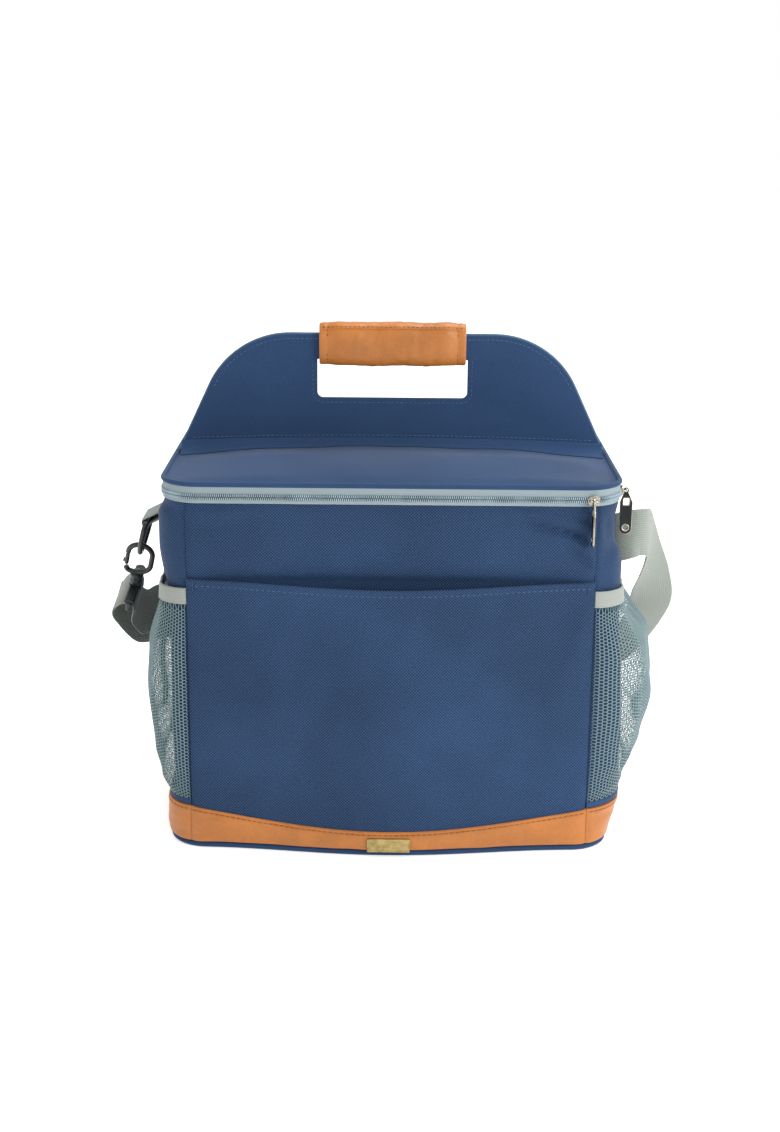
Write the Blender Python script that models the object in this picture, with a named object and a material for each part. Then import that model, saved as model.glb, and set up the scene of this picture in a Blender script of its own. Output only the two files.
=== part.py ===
"""Insulated cooler bag: soft box with a zipped lid, fold-down carry handle and shoulder strap.

Metres, +Z up. The origin is the centre of the flat underside, and the front faces -Y.
"""

import math

import bmesh
import bpy
from mathutils import Matrix, Vector

GAP = 0.0004  # clearance that neighbouring pieces keep

# Bag body
HALF_X = 0.170
HALF_Y = 0.110
CORNER_R = 0.028
SEAM_X = 0.152  # where the front and back panels meet the side panels
FABRIC = 0.0012
FOAM = 0.0058
LINER = 0.0008
WALL_LOW = 0.0058
WALL_TOP = 0.2758
FRONT_BULGE = 0.0125  # how far the base of the front stands proud at its middle
BACK_BULGE = 0.004

# Base
PIPING_R = 0.0024
BOARD = 0.003

# Zip and lid, from the bottom up
TAPE_LOW = (0.2764, 0.2784)
COIL_LOW = (0.2787, 0.2808)
COIL_UP = (0.2812, 0.2833)
TAPE_UP = (0.2836, 0.2884)
LID_LINER = (0.2808, 0.2815)
LID_FOAM = (0.2819, 0.2881)
LID_FABRIC = (0.2885, 0.2897)
LID_PIPING_R = 0.0014
LID_TOP = LID_FABRIC[1]
LID_HINGE_Z = 0.2804

# Handle panel
HANDLE_AXIS_Z = LID_TOP + 0.0048
PANEL_HALF = 0.1665
PANEL_LOW = HANDLE_AXIS_Z + 0.0008
PANEL_TOP = 0.3850
SHOULDER_R = 0.071
SLANT = math.radians(64.7)  # how steeply the panel's ends lean inwards
BOARD_HALF = 0.0010
FACE = 0.0010
CUT_HALF = 0.0588
CUT_LOW = 0.3350
CUT_HIGH = 0.3655
CUT_R = 0.0045
GRIP_HALF = 0.0570
GRIP_LOW = 0.3605
GRIP_TOP = 0.3945
GRIP_DEEP = 0.0105  # half its thickness
LEATHER = 0.0014

# Front pocket, trim band and side pockets
POCKET_TOP = 0.2180
POCKET_DIP = 0.0035
POCKET_SLACK = 0.0115
BAND_MIDDLE = 0.0205
BAND_RISE = 0.0145
BAND_OUT = 0.0021
BINDING_TALL = 0.0125
BINDING_TOP = 0.2105
BINDING_SAG = 0.006
NET_LOW = 0.0368
NET_THICK = 0.0012

# Webbing and its plastic fittings
WEB_HALF = 0.019
WEB_THICK = 0.0014
D_BAR = Vector((-0.1930, -0.010, 0.2385))
D_WIRE = 0.0021
D_DROP = 0.029
HOOK_WIRE = 0.0022
HOOK_HALF = 0.0098  # half the width of its loop
HOOK_TOP = -0.0068  # down from where the loop would rest on the ring
HOOK_FOOT = 0.0230
HOOK_DOWN = Vector((-0.221, 0.452, -0.864)).normalized()
BAR_R = 0.0020

NAVY = (0.035, 0.068, 0.155)
LINING = (0.62, 0.64, 0.66)
WHITE_FOAM = (0.88, 0.88, 0.86)
TAN = (0.52, 0.17, 0.04)
PALE = (0.45, 0.49, 0.48)
TEAL = (0.24, 0.36, 0.36)
BLACK = (0.02, 0.022, 0.022)
BRASS = (0.34, 0.28, 0.13)
NICKEL = (0.55, 0.52, 0.47)
BOARD_GREY = (0.25, 0.25, 0.26)


def clear_scene():
    for item in list(bpy.data.objects):
        bpy.data.objects.remove(item, do_unlink=True)


def material(name, colour, roughness=0.8, metallic=0.0):
    found = bpy.data.materials.get(name)
    if found:
        return found
    made = bpy.data.materials.new(name)
    made.use_nodes = True
    shader = made.node_tree.nodes["Principled BSDF"]
    shader.inputs["Base Color"].default_value = (*colour, 1.0)
    shader.inputs["Roughness"].default_value = roughness
    shader.inputs["Metallic"].default_value = metallic
    return made


def add_object(name, bm, finish, smooth=True):
    """Make a named object from bm, with its faces turned outwards."""
    bmesh.ops.recalc_face_normals(bm, faces=bm.faces)
    if bm.calc_volume(signed=True) < 0:
        bmesh.ops.reverse_faces(bm, faces=bm.faces)
    mesh = bpy.data.meshes.new(name)
    bm.to_mesh(mesh)
    bm.free()
    if smooth:
        mesh.shade_smooth()
        mesh.set_sharp_from_angle(angle=math.radians(35))
    made = bpy.data.objects.new(name, mesh)
    made.data.materials.append(finish)
    bpy.context.scene.collection.objects.link(made)
    return made


def cutter(name, bm):
    made = add_object(name, bm, material("cutter", (1.0, 0.0, 0.0)), smooth=False)
    made.hide_render = True
    made.display_type = "WIRE"
    return made


def boolean(target, tool, operation):
    step = target.modifiers.new(tool.name, "BOOLEAN")
    step.operation = operation
    step.solver = "EXACT"
    step.object = tool


def on_axis(made, point):
    """Move an object's origin to a point on its joint's axis; its shape stays where it is."""
    made.data.transform(Matrix.Translation(-Vector(point)))
    made.location = point
    return made


def outline(t):
    """Point and outward normal of the rounded plan at t: 0 front, 1 right, 2 back, 3 left middle."""
    quarter = int(math.floor(t)) % 4
    flipped = quarter in (1, 3)
    share = t - math.floor(t)
    long_x = HALF_X - CORNER_R
    long_y = HALF_Y - CORNER_R
    arc = CORNER_R * math.pi / 2
    run = (1 - share if flipped else share) * (long_x + arc + long_y)
    if run <= long_x:
        x, y, nx, ny = run, -HALF_Y, 0.0, -1.0
    elif run <= long_x + arc:
        angle = (run - long_x) / CORNER_R
        nx, ny = math.sin(angle), -math.cos(angle)
        x = long_x + CORNER_R * nx
        y = -long_y + CORNER_R * ny
    else:
        x, y, nx, ny = HALF_X, -(long_x + arc + long_y - run), 1.0, 0.0
    side_x = 1 if quarter in (0, 1) else -1
    side_y = 1 if quarter in (0, 3) else -1
    return Vector((side_x * x, side_y * y)), Vector((side_x * nx, side_y * ny))


def seam_share():
    long_x = HALF_X - CORNER_R
    arc = CORNER_R * math.asin((SEAM_X - long_x) / CORNER_R)
    return (long_x + arc) / (long_x + CORNER_R * math.pi / 2 + HALF_Y - CORNER_R)


SEAM = seam_share()
SEAM_GAP = 0.0010
WALL_HEIGHTS = [WALL_LOW, 0.050, 0.095, 0.140, 0.188, 0.235, WALL_TOP]


def ring_stations():
    """Places round one whole turn of the plan: finer over the bulged fronts and the corners."""
    whole = HALF_X + HALF_Y - 2 * CORNER_R + CORNER_R * math.pi / 2
    flat = (HALF_X - CORNER_R) / whole
    bend = flat + CORNER_R * math.pi / 2 / whole
    quarter = [flat * i / 6 for i in range(6)] + [flat + (bend - flat) * i / 4 for i in range(4)]
    quarter += [bend, (bend + 1) / 2]
    ring = []
    for corner in range(0, 4, 2):
        ring += [corner + t for t in quarter]
        ring += [corner + 1] + [corner + 2 - t for t in reversed(quarter[1:])]
    return ring


RING = ring_stations()


def stations(start, end):
    """The ring's places between two ends, with both ends."""
    near = 0.004
    inside = [t + 4 * lap for lap in (-1, 0, 1) for t in RING if start + near < t + 4 * lap < end - near]
    return [start] + sorted(inside) + [end]


def fade(value, low, high):
    share = min(max((value - low) / (high - low), 0.0), 1.0)
    return share * share * (3 - 2 * share)


def bulge(x, y, z):
    across = math.cos(math.pi * min(abs(x) / SEAM_X, 1.0) / 2) ** 2
    if y < -HALF_Y * 0.9:
        down = 1 - fade(z, 0.0, WALL_TOP * 0.95)
        return FRONT_BULGE * across * (0.1 + 0.9 * down) * (1 - fade(z, 0.24, WALL_TOP))
    if y > HALF_Y * 0.9:
        return BACK_BULGE * across * (1 - fade(z, 0.16, 0.235))
    return 0.0


def wall_point(t, z, out):
    """A point that stands out metres outside the bag's outer surface."""
    place, normal = outline(t)
    reach = out + bulge(place.x, place.y, z)
    spot = place + normal * reach
    return Vector((spot.x, spot.y, z))


def grid_solid(outer, inner, closed=False):
    """Closed solid between two matching grids of points, open or closed along the first direction."""
    bm = bmesh.new()
    rows, columns = len(outer), len(outer[0])
    a = [[bm.verts.new(p) for p in row] for row in outer]
    b = [[bm.verts.new(p) for p in row] for row in inner]
    last = rows if closed else rows - 1
    for i in range(last):
        k = (i + 1) % rows
        for j in range(columns - 1):
            bm.faces.new((a[i][j], a[k][j], a[k][j + 1], a[i][j + 1]))
            bm.faces.new((b[i][j], b[i][j + 1], b[k][j + 1], b[k][j]))
        for j in (0, columns - 1):
            bm.faces.new((a[i][j], a[k][j], b[k][j], b[i][j]))
    if not closed:
        for i in (0, rows - 1):
            for j in range(columns - 1):
                bm.faces.new((a[i][j], a[i][j + 1], b[i][j + 1], b[i][j]))
    return bm


def wall_panel(name, finish, start, end, heights, near, far):
    """Upright panel along the plan from start to end, between far and near metres outside."""
    spots = stations(start, end)
    outer = [[wall_point(t, z, near) for z in heights] for t in spots]
    inner = [[wall_point(t, z, far) for z in heights] for t in spots]
    return add_object(name, grid_solid(outer, inner), finish)


def levels(low, high, count):
    return [low + (high - low) * i / count for i in range(count + 1)]


def plan_slab(name, finish, band, out, bulged):
    """Flat sheet of the bag's plan between two heights; the base is bulged and the lid isn't."""
    bm = bmesh.new()
    rings = []
    for z in band:
        ring = []
        for t in RING:
            place, normal = outline(t)
            spot = wall_point(t, 0.0, out) if bulged else place + normal * out
            ring.append(bm.verts.new((spot.x, spot.y, z)))
        rings.append(ring)
        bm.faces.new(ring)
    count = len(RING)
    for i in range(count):
        k = (i + 1) % count
        bm.faces.new((rings[0][i], rings[0][k], rings[1][k], rings[1][i]))
    return add_object(name, bm, finish)


def tube_along(points, radius, sides, closed, first_side=None):
    """Round tube along points; open ends are capped."""
    bm = bmesh.new()
    count = len(points)
    rings = []
    across = None
    for i, point in enumerate(points):
        before = points[(i - 1) % count] if closed or i else point
        after = points[(i + 1) % count] if closed or i < count - 1 else point
        along = (after - before).normalized()
        if across is None:
            seed = first_side or Vector((0, 0, 1))
            across = (seed - along * seed.dot(along)).normalized()
        across = (across - along * across.dot(along)).normalized()
        other = along.cross(across)
        ring = []
        for k in range(sides):
            angle = 2 * math.pi * k / sides
            ring.append(bm.verts.new(point + radius * (across * math.cos(angle) + other * math.sin(angle))))
        rings.append(ring)
    last = count if closed else count - 1
    for i in range(last):
        n = (i + 1) % count
        for k in range(sides):
            m = (k + 1) % sides
            bm.faces.new((rings[i][k], rings[i][m], rings[n][m], rings[n][k]))
    if not closed:
        bm.faces.new(rings[0])
        bm.faces.new(rings[-1])
    return bm


def box_mesh(low, high):
    bm = bmesh.new()
    bmesh.ops.create_cube(bm, size=1.0)
    low, high = Vector(low), Vector(high)
    size = high - low
    middle = (high + low) / 2
    for vert in bm.verts:
        vert.co = Vector((vert.co[k] * size[k] + middle[k] for k in range(3)))
    return bm


def smooth_curve(points, steps):
    """Points of a Catmull-Rom curve through the given vectors, steps to each stretch."""
    out = []
    for i in range(len(points) - 1):
        a = points[max(i - 1, 0)]
        b, c = points[i], points[i + 1]
        d = points[min(i + 2, len(points) - 1)]
        for k in range(steps):
            s = k / steps
            out.append(
                0.5 * ((2 * b) + (c - a) * s + (2 * a - 5 * b + 4 * c - d) * s * s
                       + (3 * b - a - 3 * c + d) * s ** 3)
            )
    out.append(points[-1].copy())
    return out


def profile(value, knots):
    """Smooth value between (place, height) knots."""
    places = [k[0] for k in knots]
    i = min(max(sum(value >= p for p in places) - 1, 0), len(knots) - 2)
    low, high = knots[i], knots[i + 1]
    return low[1] + (high[1] - low[1]) * fade(value, low[0], high[0])


# --- Bag body -------------------------------------------------------------


def make_walls():
    navy = material("navy_fabric", NAVY, 0.85)
    foam = material("white_foam", WHITE_FOAM, 0.9)
    s, g = SEAM, SEAM_GAP
    runs = {
        "front": (-s + g, s - g),
        "right": (s + g, 2 - s - g),
        "back": (2 - s + g, 2 + s - g),
        "left": (2 + s + g, 4 - s - g),
    }
    names = {"front": "front_panel", "back": "back_panel",
             "left": "side_panel_left", "right": "side_panel_right"}
    for side, (start, end) in runs.items():
        wall_panel(names[side], navy, start, end, WALL_HEIGHTS, 0.0, -FABRIC)
        near = -FABRIC - GAP
        wall_panel(f"foam_{side}", foam, start, end, WALL_HEIGHTS, near, near - FOAM)


def make_base():
    navy = material("navy_fabric", NAVY, 0.85)
    piping = [wall_point(t, 0.0, -0.0005) for t in RING]
    for point in piping:
        point.z = PIPING_R + 0.0001
    add_object("base_piping", tube_along(piping, PIPING_R, 6, True), navy)
    edge = -0.0005 - PIPING_R - GAP
    plan_slab("bottom_panel", navy, (0.0, FABRIC), edge, True)
    low = FABRIC + GAP
    plan_slab("base_board", material("board", BOARD_GREY, 0.7), (low, low + BOARD), edge, True)
    low += BOARD + GAP
    inside = -FABRIC - GAP - FOAM - GAP
    plan_slab("foam_bottom", material("white_foam", WHITE_FOAM, 0.9), (low, low + FOAM), inside, True)


def make_liner():
    """One tub of thin lining inside the foam, open at its top."""
    low = FABRIC + GAP + BOARD + GAP + FOAM + GAP
    out = -FABRIC - GAP - FOAM - GAP
    heights = [low] + WALL_HEIGHTS[1:]
    inner_heights = [low + LINER] + WALL_HEIGHTS[1:]
    bm = bmesh.new()
    a = [[bm.verts.new(wall_point(t, z, out)) for z in heights] for t in RING]
    b = [[bm.verts.new(wall_point(t, z, out - LINER)) for z in inner_heights] for t in RING]
    top = len(heights) - 1
    for i in range(len(RING)):
        k = (i + 1) % len(RING)
        for j in range(top):
            bm.faces.new((a[i][j], a[k][j], a[k][j + 1], a[i][j + 1]))
            bm.faces.new((b[i][j], b[i][j + 1], b[k][j + 1], b[k][j]))
        bm.faces.new((a[i][top], a[k][top], b[k][top], b[i][top]))
    bm.faces.new([row[0] for row in a])
    bm.faces.new([row[0] for row in b])
    add_object("liner_tub", bm, material("lining", LINING, 0.35))


def pocket_point(t, share, extra):
    """Front pocket panel, share from its foot to its mouth."""
    place, _ = outline(t)
    across = math.cos(math.pi * min(abs(place.x) / SEAM_X, 1.0) / 2)
    top = POCKET_TOP - POCKET_DIP * across ** 2
    z = 0.010 + (top - 0.010) * share
    slack = POCKET_SLACK * across ** 1.2 * fade(z, 0.03, 0.13)
    return wall_point(t, z, 2 * GAP + slack + extra)


def make_front_pocket():
    s = SEAM - 2 * SEAM_GAP
    spots = stations(-s, s)
    shares = levels(0.0, 1.0, 8)
    outer = [[pocket_point(t, v, FABRIC) for v in shares] for t in spots]
    inner = [[pocket_point(t, v, 0.0) for v in shares] for t in spots]
    bm = grid_solid(outer, inner)
    add_object("front_pocket_panel", bm, material("navy_fabric", NAVY, 0.85))


def band_top(t):
    place, _ = outline(t)
    return BAND_MIDDLE + BAND_RISE * min(abs(place.x) / SEAM_X, 1.0) ** 2


def make_trim_band():
    leather = material("tan_leather", TAN, 0.35)
    s, g = SEAM, SEAM_GAP
    runs = {"front": (-s + g, s - g), "right": (s + g, 2 - s - g),
            "back": (2 - s + g, 2 + s - g), "left": (2 + s + g, 4 - s - g)}
    for side, (start, end) in runs.items():
        outer, inner = [], []
        for t in stations(start, end):
            rise = [WALL_LOW, (WALL_LOW + band_top(t)) / 2, band_top(t)]
            outer.append([wall_point(t, z, BAND_OUT + LEATHER) for z in rise])
            inner.append([wall_point(t, z, BAND_OUT) for z in rise])
        add_object(f"trim_band_{side}", grid_solid(outer, inner), leather)


def make_badge():
    """Plain brass plate on the middle of the front trim band."""
    back = wall_point(0.0, 0.010, BAND_OUT + LEATHER + GAP).y
    bm = box_mesh((-0.0165, back - 0.0012, 0.0050), (0.0165, back, 0.0160))
    bmesh.ops.bevel(bm, geom=[e for e in bm.edges if abs(e.verts[0].co.y - e.verts[1].co.y) > 0.001],
                    offset=0.0008, segments=2, affect="EDGES")
    add_object("badge_plate", bm, material("brass", BRASS, 0.4, 1.0))


NET_BLUFF = 0.64  # how squarely the net stands out at its ends
NET_PUFF = {
    "right": [(0.0, 0.0008), (0.10, 0.020), (0.24, 0.033), (0.48, 0.042), (0.72, 0.038), (1.0, 0.010)],
    "left": [(0.0, 0.0008), (0.10, 0.012), (0.24, 0.019), (0.48, 0.024), (0.72, 0.021), (1.0, 0.008)],
}


def side_places(side):
    s, g = SEAM, SEAM_GAP
    return (s + g, 2 - s - g) if side == "right" else (2 + s + g, 4 - s - g)


def binding_low(along):
    return BINDING_TOP - BINDING_TALL - BINDING_SAG * math.sin(math.pi * along) ** 1.2


def net_point(side, t, share, extra):
    start, end = side_places(side)
    along = (t - start) / (end - start)
    z = NET_LOW + (binding_low(along) - GAP - NET_LOW) * share
    puff = profile(share, NET_PUFF[side]) * math.sin(math.pi * along) ** NET_BLUFF
    return wall_point(t, z, GAP + puff + extra)


def make_side_pockets():
    teal = material("net", TEAL, 0.8)
    pale = material("elastic", PALE, 0.8)
    for side in ("left", "right"):
        start, end = side_places(side)
        spots = stations(start, end)
        shares = levels(0.0, 1.0, 7)
        outer = [[net_point(side, t, v, NET_THICK) for v in shares] for t in spots]
        inner = [[net_point(side, t, v, 0.0) for v in shares] for t in spots]
        add_object(f"side_pocket_net_{side}", grid_solid(outer, inner), teal)
        out = NET_PUFF[side][-1][1]
        outer, inner = [], []
        for t in spots:
            u = (t - start) / (end - start)
            reach = GAP + out * math.sin(math.pi * u) ** NET_BLUFF
            rise = [binding_low(u), binding_low(u) + BINDING_TALL]
            outer.append([wall_point(t, z, reach + 0.0016) for z in rise])
            inner.append([wall_point(t, z, reach) for z in rise])
        add_object(f"side_pocket_binding_{side}", grid_solid(outer, inner), pale)


# --- Zip and lid ------------------------------------------------------------


def zip_strip(name, finish, band, near, far):
    """Strip of the zip, from one back corner round the front to the other."""
    end = 2 - SEAM - 0.02
    outer, inner = [], []
    for t in stations(-end, end):
        place, normal = outline(t)
        a = place + normal * near
        b = place + normal * far
        outer.append([Vector((a.x, a.y, z)) for z in band])
        inner.append([Vector((b.x, b.y, z)) for z in band])
    return add_object(name, grid_solid(outer, inner), finish)


def make_zip():
    tape = material("zip_tape", PALE, 0.8)
    coil = material("zip_coil", PALE, 0.4)
    zip_strip("zip_tape_lower", tape, TAPE_LOW, 0.0012, 0.0005)
    zip_strip("zip_coil_lower", coil, COIL_LOW, 0.0018, -0.0006)
    zip_strip("zip_coil_upper", coil, COIL_UP, 0.0018, -0.0006)
    zip_strip("zip_tape_upper", tape, TAPE_UP, 0.0012, 0.0005)


def make_lid():
    navy = material("navy_fabric", NAVY, 0.85)
    plan_slab("lid_liner", material("lining", LINING, 0.35), LID_LINER, -0.0082, False)
    plan_slab("lid_foam", material("white_foam", WHITE_FOAM, 0.9), LID_FOAM, -0.0012, False)
    plan_slab("lid_top_panel", navy, LID_FABRIC, -0.0014, False)
    line = []
    for t in RING:
        place, normal = outline(t)
        spot = place + normal * 0.0004
        line.append(Vector((spot.x, spot.y, LID_TOP + 0.0004)))
    add_object("lid_piping", tube_along(line, LID_PIPING_R, 6, True), navy)


def make_lid_hinge():
    """Fabric strip at the top of the back, on which the lid turns."""
    end = SEAM - 0.03
    heights = [0.2560, WALL_TOP, LID_HINGE_Z - 0.0006]
    outer, inner = [], []
    for t in stations(2 - end, 2 + end):
        outer.append([wall_point(t, z, 0.0014) for z in heights])
        inner.append([wall_point(t, z, GAP) for z in heights])
    add_object("lid_hinge_strip", grid_solid(outer, inner), material("navy_fabric", NAVY, 0.85))


# --- Handle -------------------------------------------------------------------


def panel_outline():
    """Panel's edge in X and Z: slanted ends, round shoulders and a flat top."""
    gain = SHOULDER_R * (1 - math.cos(SLANT))
    start_z = PANEL_TOP - gain
    start_x = PANEL_HALF - (start_z - PANEL_LOW) / math.tan(SLANT)
    right = [(PANEL_HALF, PANEL_LOW)]
    steps = 8
    for i in range(steps + 1):
        angle = SLANT * (1 - i / steps)
        x = start_x - SHOULDER_R * (math.sin(SLANT) - math.sin(angle))
        z = PANEL_TOP - SHOULDER_R * (1 - math.cos(angle))
        right.append((x, z))
    left = [(-x, z) for x, z in reversed(right)]
    return right + left


def cut_outline():
    """Hand hole: round lower corners, square top."""
    points = [(-CUT_HALF, CUT_HIGH)]
    for side, start in ((-1, math.pi), (1, 1.5 * math.pi)):
        middle = side * (CUT_HALF - CUT_R)
        for i in range(5):
            angle = start + math.pi / 2 * i / 4
            points.append((middle + CUT_R * math.cos(angle), CUT_LOW + CUT_R + CUT_R * math.sin(angle)))
    points.append((CUT_HALF, CUT_HIGH))
    return points


def prism(points, low, high):
    bm = bmesh.new()
    front = [bm.verts.new((x, low, z)) for x, z in points]
    back = [bm.verts.new((x, high, z)) for x, z in points]
    bm.faces.new(front)
    bm.faces.new(back)
    for i in range(len(points)):
        k = (i + 1) % len(points)
        bm.faces.new((front[i], front[k], back[k], back[i]))
    return bm


def rounded_ring(half_y, half_z, radius, middle_z):
    points = []
    for quarter in range(4):
        side_y = 1 if quarter in (0, 3) else -1
        side_z = 1 if quarter in (0, 1) else -1
        for i in range(4):
            angle = math.pi / 2 * (quarter + i / 3)
            y = side_y * (half_y - radius) + radius * math.cos(angle)
            z = side_z * (half_z - radius) + radius * math.sin(angle)
            points.append(Vector((0.0, y, middle_z + z)))
    return points


def sleeve(name, finish, half_x, outer, inner):
    """Sleeve round the handle's bar: a ring carried from one end to the other."""
    ends = levels(-half_x, half_x, 6)
    a = [[Vector((x, p.y, p.z)) for x in ends] for p in outer]
    b = [[Vector((x, p.y, p.z)) for x in ends] for p in inner]
    return add_object(name, grid_solid(a, b, closed=True), finish)


def make_handle():
    navy = material("navy_fabric", NAVY, 0.85)
    axis = (0.0, 0.0, HANDLE_AXIS_Z)
    strip = box_mesh((-PANEL_HALF, -0.0085, LID_TOP + GAP), (PANEL_HALF, 0.0085, LID_TOP + 0.0014))
    add_object("handle_base_strip", strip, navy)
    cut = cutter("hand_hole", prism(cut_outline(), -0.02, 0.02))
    sheets = {
        "handle_board": (-BOARD_HALF, BOARD_HALF, material("board", BOARD_GREY, 0.7)),
        "handle_face_front": (-BOARD_HALF - GAP - FACE, -BOARD_HALF - GAP, navy),
        "handle_face_back": (BOARD_HALF + GAP, BOARD_HALF + GAP + FACE, navy),
    }
    for name, (low, high, finish) in sheets.items():
        made = add_object(name, prism(panel_outline(), low, high), finish, smooth=False)
        boolean(made, cut, "DIFFERENCE")
        on_axis(made, axis)
    middle = (GRIP_LOW + GRIP_TOP) / 2
    half = (GRIP_TOP - GRIP_LOW) / 2
    skin = rounded_ring(GRIP_DEEP, half, 0.0095, middle)
    under = rounded_ring(GRIP_DEEP - LEATHER, half - LEATHER, 0.0081, middle)
    core = rounded_ring(GRIP_DEEP - LEATHER - GAP, half - LEATHER - GAP, 0.0078, middle)
    bar = rounded_ring(0.0030, half - 0.0040, 0.0010, middle)
    leather = material("tan_leather", TAN, 0.35)
    on_axis(sleeve("grip_leather", leather, GRIP_HALF, skin, under), axis)
    foam = material("white_foam", WHITE_FOAM, 0.9)
    on_axis(sleeve("grip_padding", foam, GRIP_HALF - 0.001, core, bar), axis)


# --- Zip sliders and their pulls ---------------------------------------------


def turned(bm, degrees, place):
    """Turn a piece made facing -Y about Z and put it at its place."""
    turn = Matrix.Rotation(math.radians(degrees), 4, "Z")
    bmesh.ops.transform(bm, matrix=Matrix.Translation(place) @ turn, verts=bm.verts)
    return bm


BAIL_OUT = 0.0063
BAIL_Z = (COIL_LOW[0] + COIL_UP[1]) / 2
PULL_LONG = 0.0342


def slider_mesh():
    """Outer plate with a lip under the coil and a bail; origin on the fabric's outer line."""
    plate = box_mesh((-0.0046, -0.0035, COIL_LOW[0] - 0.0016), (0.0046, -0.0022, COIL_UP[1] + 0.0012))
    bmesh.ops.bevel(plate, geom=[e for e in plate.edges if abs(e.verts[0].co.y - e.verts[1].co.y) > 0.001],
                    offset=0.0020, segments=3, affect="EDGES")
    return plate


def slider_lip():
    return box_mesh((-0.0036, -0.0028, COIL_LOW[0] - 0.0015), (0.0036, -0.0016, COIL_LOW[0] - 0.0004))


def bail_mesh():
    half, foot = 0.0032, -0.0030
    top = -BAIL_OUT
    path = [Vector((-half, foot, BAIL_Z)), Vector((-half, top + 0.0012, BAIL_Z)),
            Vector((-half + 0.0010, top, BAIL_Z)), Vector((half - 0.0010, top, BAIL_Z)),
            Vector((half, top + 0.0012, BAIL_Z)), Vector((half, foot, BAIL_Z))]
    return tube_along(path, 0.0007, 8, False)


def pull_mesh():
    """Flat tab that hangs from the bail, its plane square to the zip, with a round eye on top."""
    eye, hole, half = 0.0024, 0.0013, 0.0048
    middle = -BAIL_OUT
    low = BAIL_Z - PULL_LONG
    points = []
    for i in range(9):
        angle = -0.25 * math.pi + 1.5 * math.pi * i / 8
        points.append((middle + eye * math.cos(angle), BAIL_Z + eye * math.sin(angle)))
    neck = BAIL_Z - 0.0080
    shift = -0.0004
    points.append((middle - half + shift, neck - 0.002))
    for i in range(5):
        angle = math.pi + math.pi * i / 4
        points.append((middle + shift + half * math.cos(angle), low + half + half * math.sin(angle)))
    points.append((middle + half + shift, neck - 0.002))
    bm = bmesh.new()
    ring = [[bm.verts.new((x, y, z)) for y, z in points] for x in (-0.0008, 0.0008)]
    for side in ring:
        bm.faces.new(side)
    for i in range(len(points)):
        k = (i + 1) % len(points)
        bm.faces.new((ring[0][i], ring[0][k], ring[1][k], ring[1][i]))
    line = [Vector((x, middle, BAIL_Z)) for x in (-0.004, 0.004)]
    return bm, tube_along(line, hole, 12, False)


def make_slider(tag, place, degrees, finish, pull_finish):
    body = add_object(f"zip_slider_{tag}", turned(slider_mesh(), degrees, place), finish)
    lip = cutter(f"slider_lip_{tag}", turned(slider_lip(), degrees, place))
    bail = cutter(f"slider_bail_{tag}", turned(bail_mesh(), degrees, place))
    boolean(body, lip, "UNION")
    boolean(body, bail, "UNION")
    tab, hole = pull_mesh()
    pull = add_object(f"zip_pull_{tag}", turned(tab, degrees, place), pull_finish)
    boolean(pull, cutter(f"pull_hole_{tag}", turned(hole, degrees, place)), "DIFFERENCE")


SLIDER_FRONT = Vector((0.1480, -HALF_Y, 0.0))
SLIDER_SIDE = Vector((HALF_X, -0.0785, 0.0))


def make_sliders():
    nickel = material("nickel", NICKEL, 0.3, 1.0)
    make_slider("front", SLIDER_FRONT, 0, nickel, nickel)
    make_slider("side", SLIDER_SIDE, 90, nickel, material("black_enamel", BLACK, 0.3))


# --- Shoulder strap and its fittings ---------------------------------------------

D_FALL = Vector((-0.26, 0.0, -0.966)).normalized()
D_FOOT = D_BAR + D_FALL * D_DROP
BAR_ALONG = Vector((-0.112, -0.872, -0.428))
BAR_ALONG = (BAR_ALONG - HOOK_DOWN * BAR_ALONG.dot(HOOK_DOWN)).normalized()
HOOK_SIDE = BAR_ALONG.cross(HOOK_DOWN).normalized()


def hook_point(side, down, along=0.0):
    """Place by the snap hook's own axes, in metres from where it hangs on the ring."""
    return D_FOOT + HOOK_SIDE * side + HOOK_DOWN * down + BAR_ALONG * along


def make_strap_tab():
    """Doubled webbing sewn to the left side, looped round the ring's straight bar."""
    face = -HALF_X - GAP
    ring_r = 0.0042
    points = [(face, 0.2640), (face - 0.0024, 0.2640), (face - 0.0028, 0.2520)]
    start = math.atan2(0.6, -0.75)
    for i in range(13):
        angle = start + 1.62 * math.pi * i / 12
        points.append((D_BAR.x + ring_r * math.cos(angle), D_BAR.z + ring_r * math.sin(angle)))
    points.append((face - 0.0006, 0.2470))
    bm = bmesh.new()
    low, high = D_BAR.y - 0.0175, D_BAR.y + 0.0175
    rings = [[bm.verts.new((x, y, z)) for x, z in points] for y in (low, high)]
    for ring in rings:
        bm.faces.new(ring)
    for i in range(len(points)):
        k = (i + 1) % len(points)
        bm.faces.new((rings[0][i], rings[0][k], rings[1][k], rings[1][i]))
    tab = add_object("strap_tab_left", bm, material("webbing", PALE, 0.85))
    line = [Vector((D_BAR.x, y, D_BAR.z)) for y in (low - 0.005, high + 0.005)]
    boolean(tab, cutter("tab_hole", tube_along(line, D_WIRE + GAP, 12, False)), "DIFFERENCE")


def make_d_ring():
    half = 0.0205
    path = [D_BAR + Vector((0, half * k / 3, 0)) for k in range(-3, 4)]
    for i in range(15):
        angle = math.pi * i / 14
        out = Vector((0, (half + 0.0010) * math.cos(angle), 0))
        path.append(D_BAR + out + D_FALL * (0.0045 + (D_DROP - 0.0045) * math.sin(angle)))
    ring = add_object("d_ring", tube_along(path, D_WIRE, 8, True, Vector((1, 0, 0))),
                      material("black_plastic", BLACK, 0.4))
    on_axis(ring, D_BAR)


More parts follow.
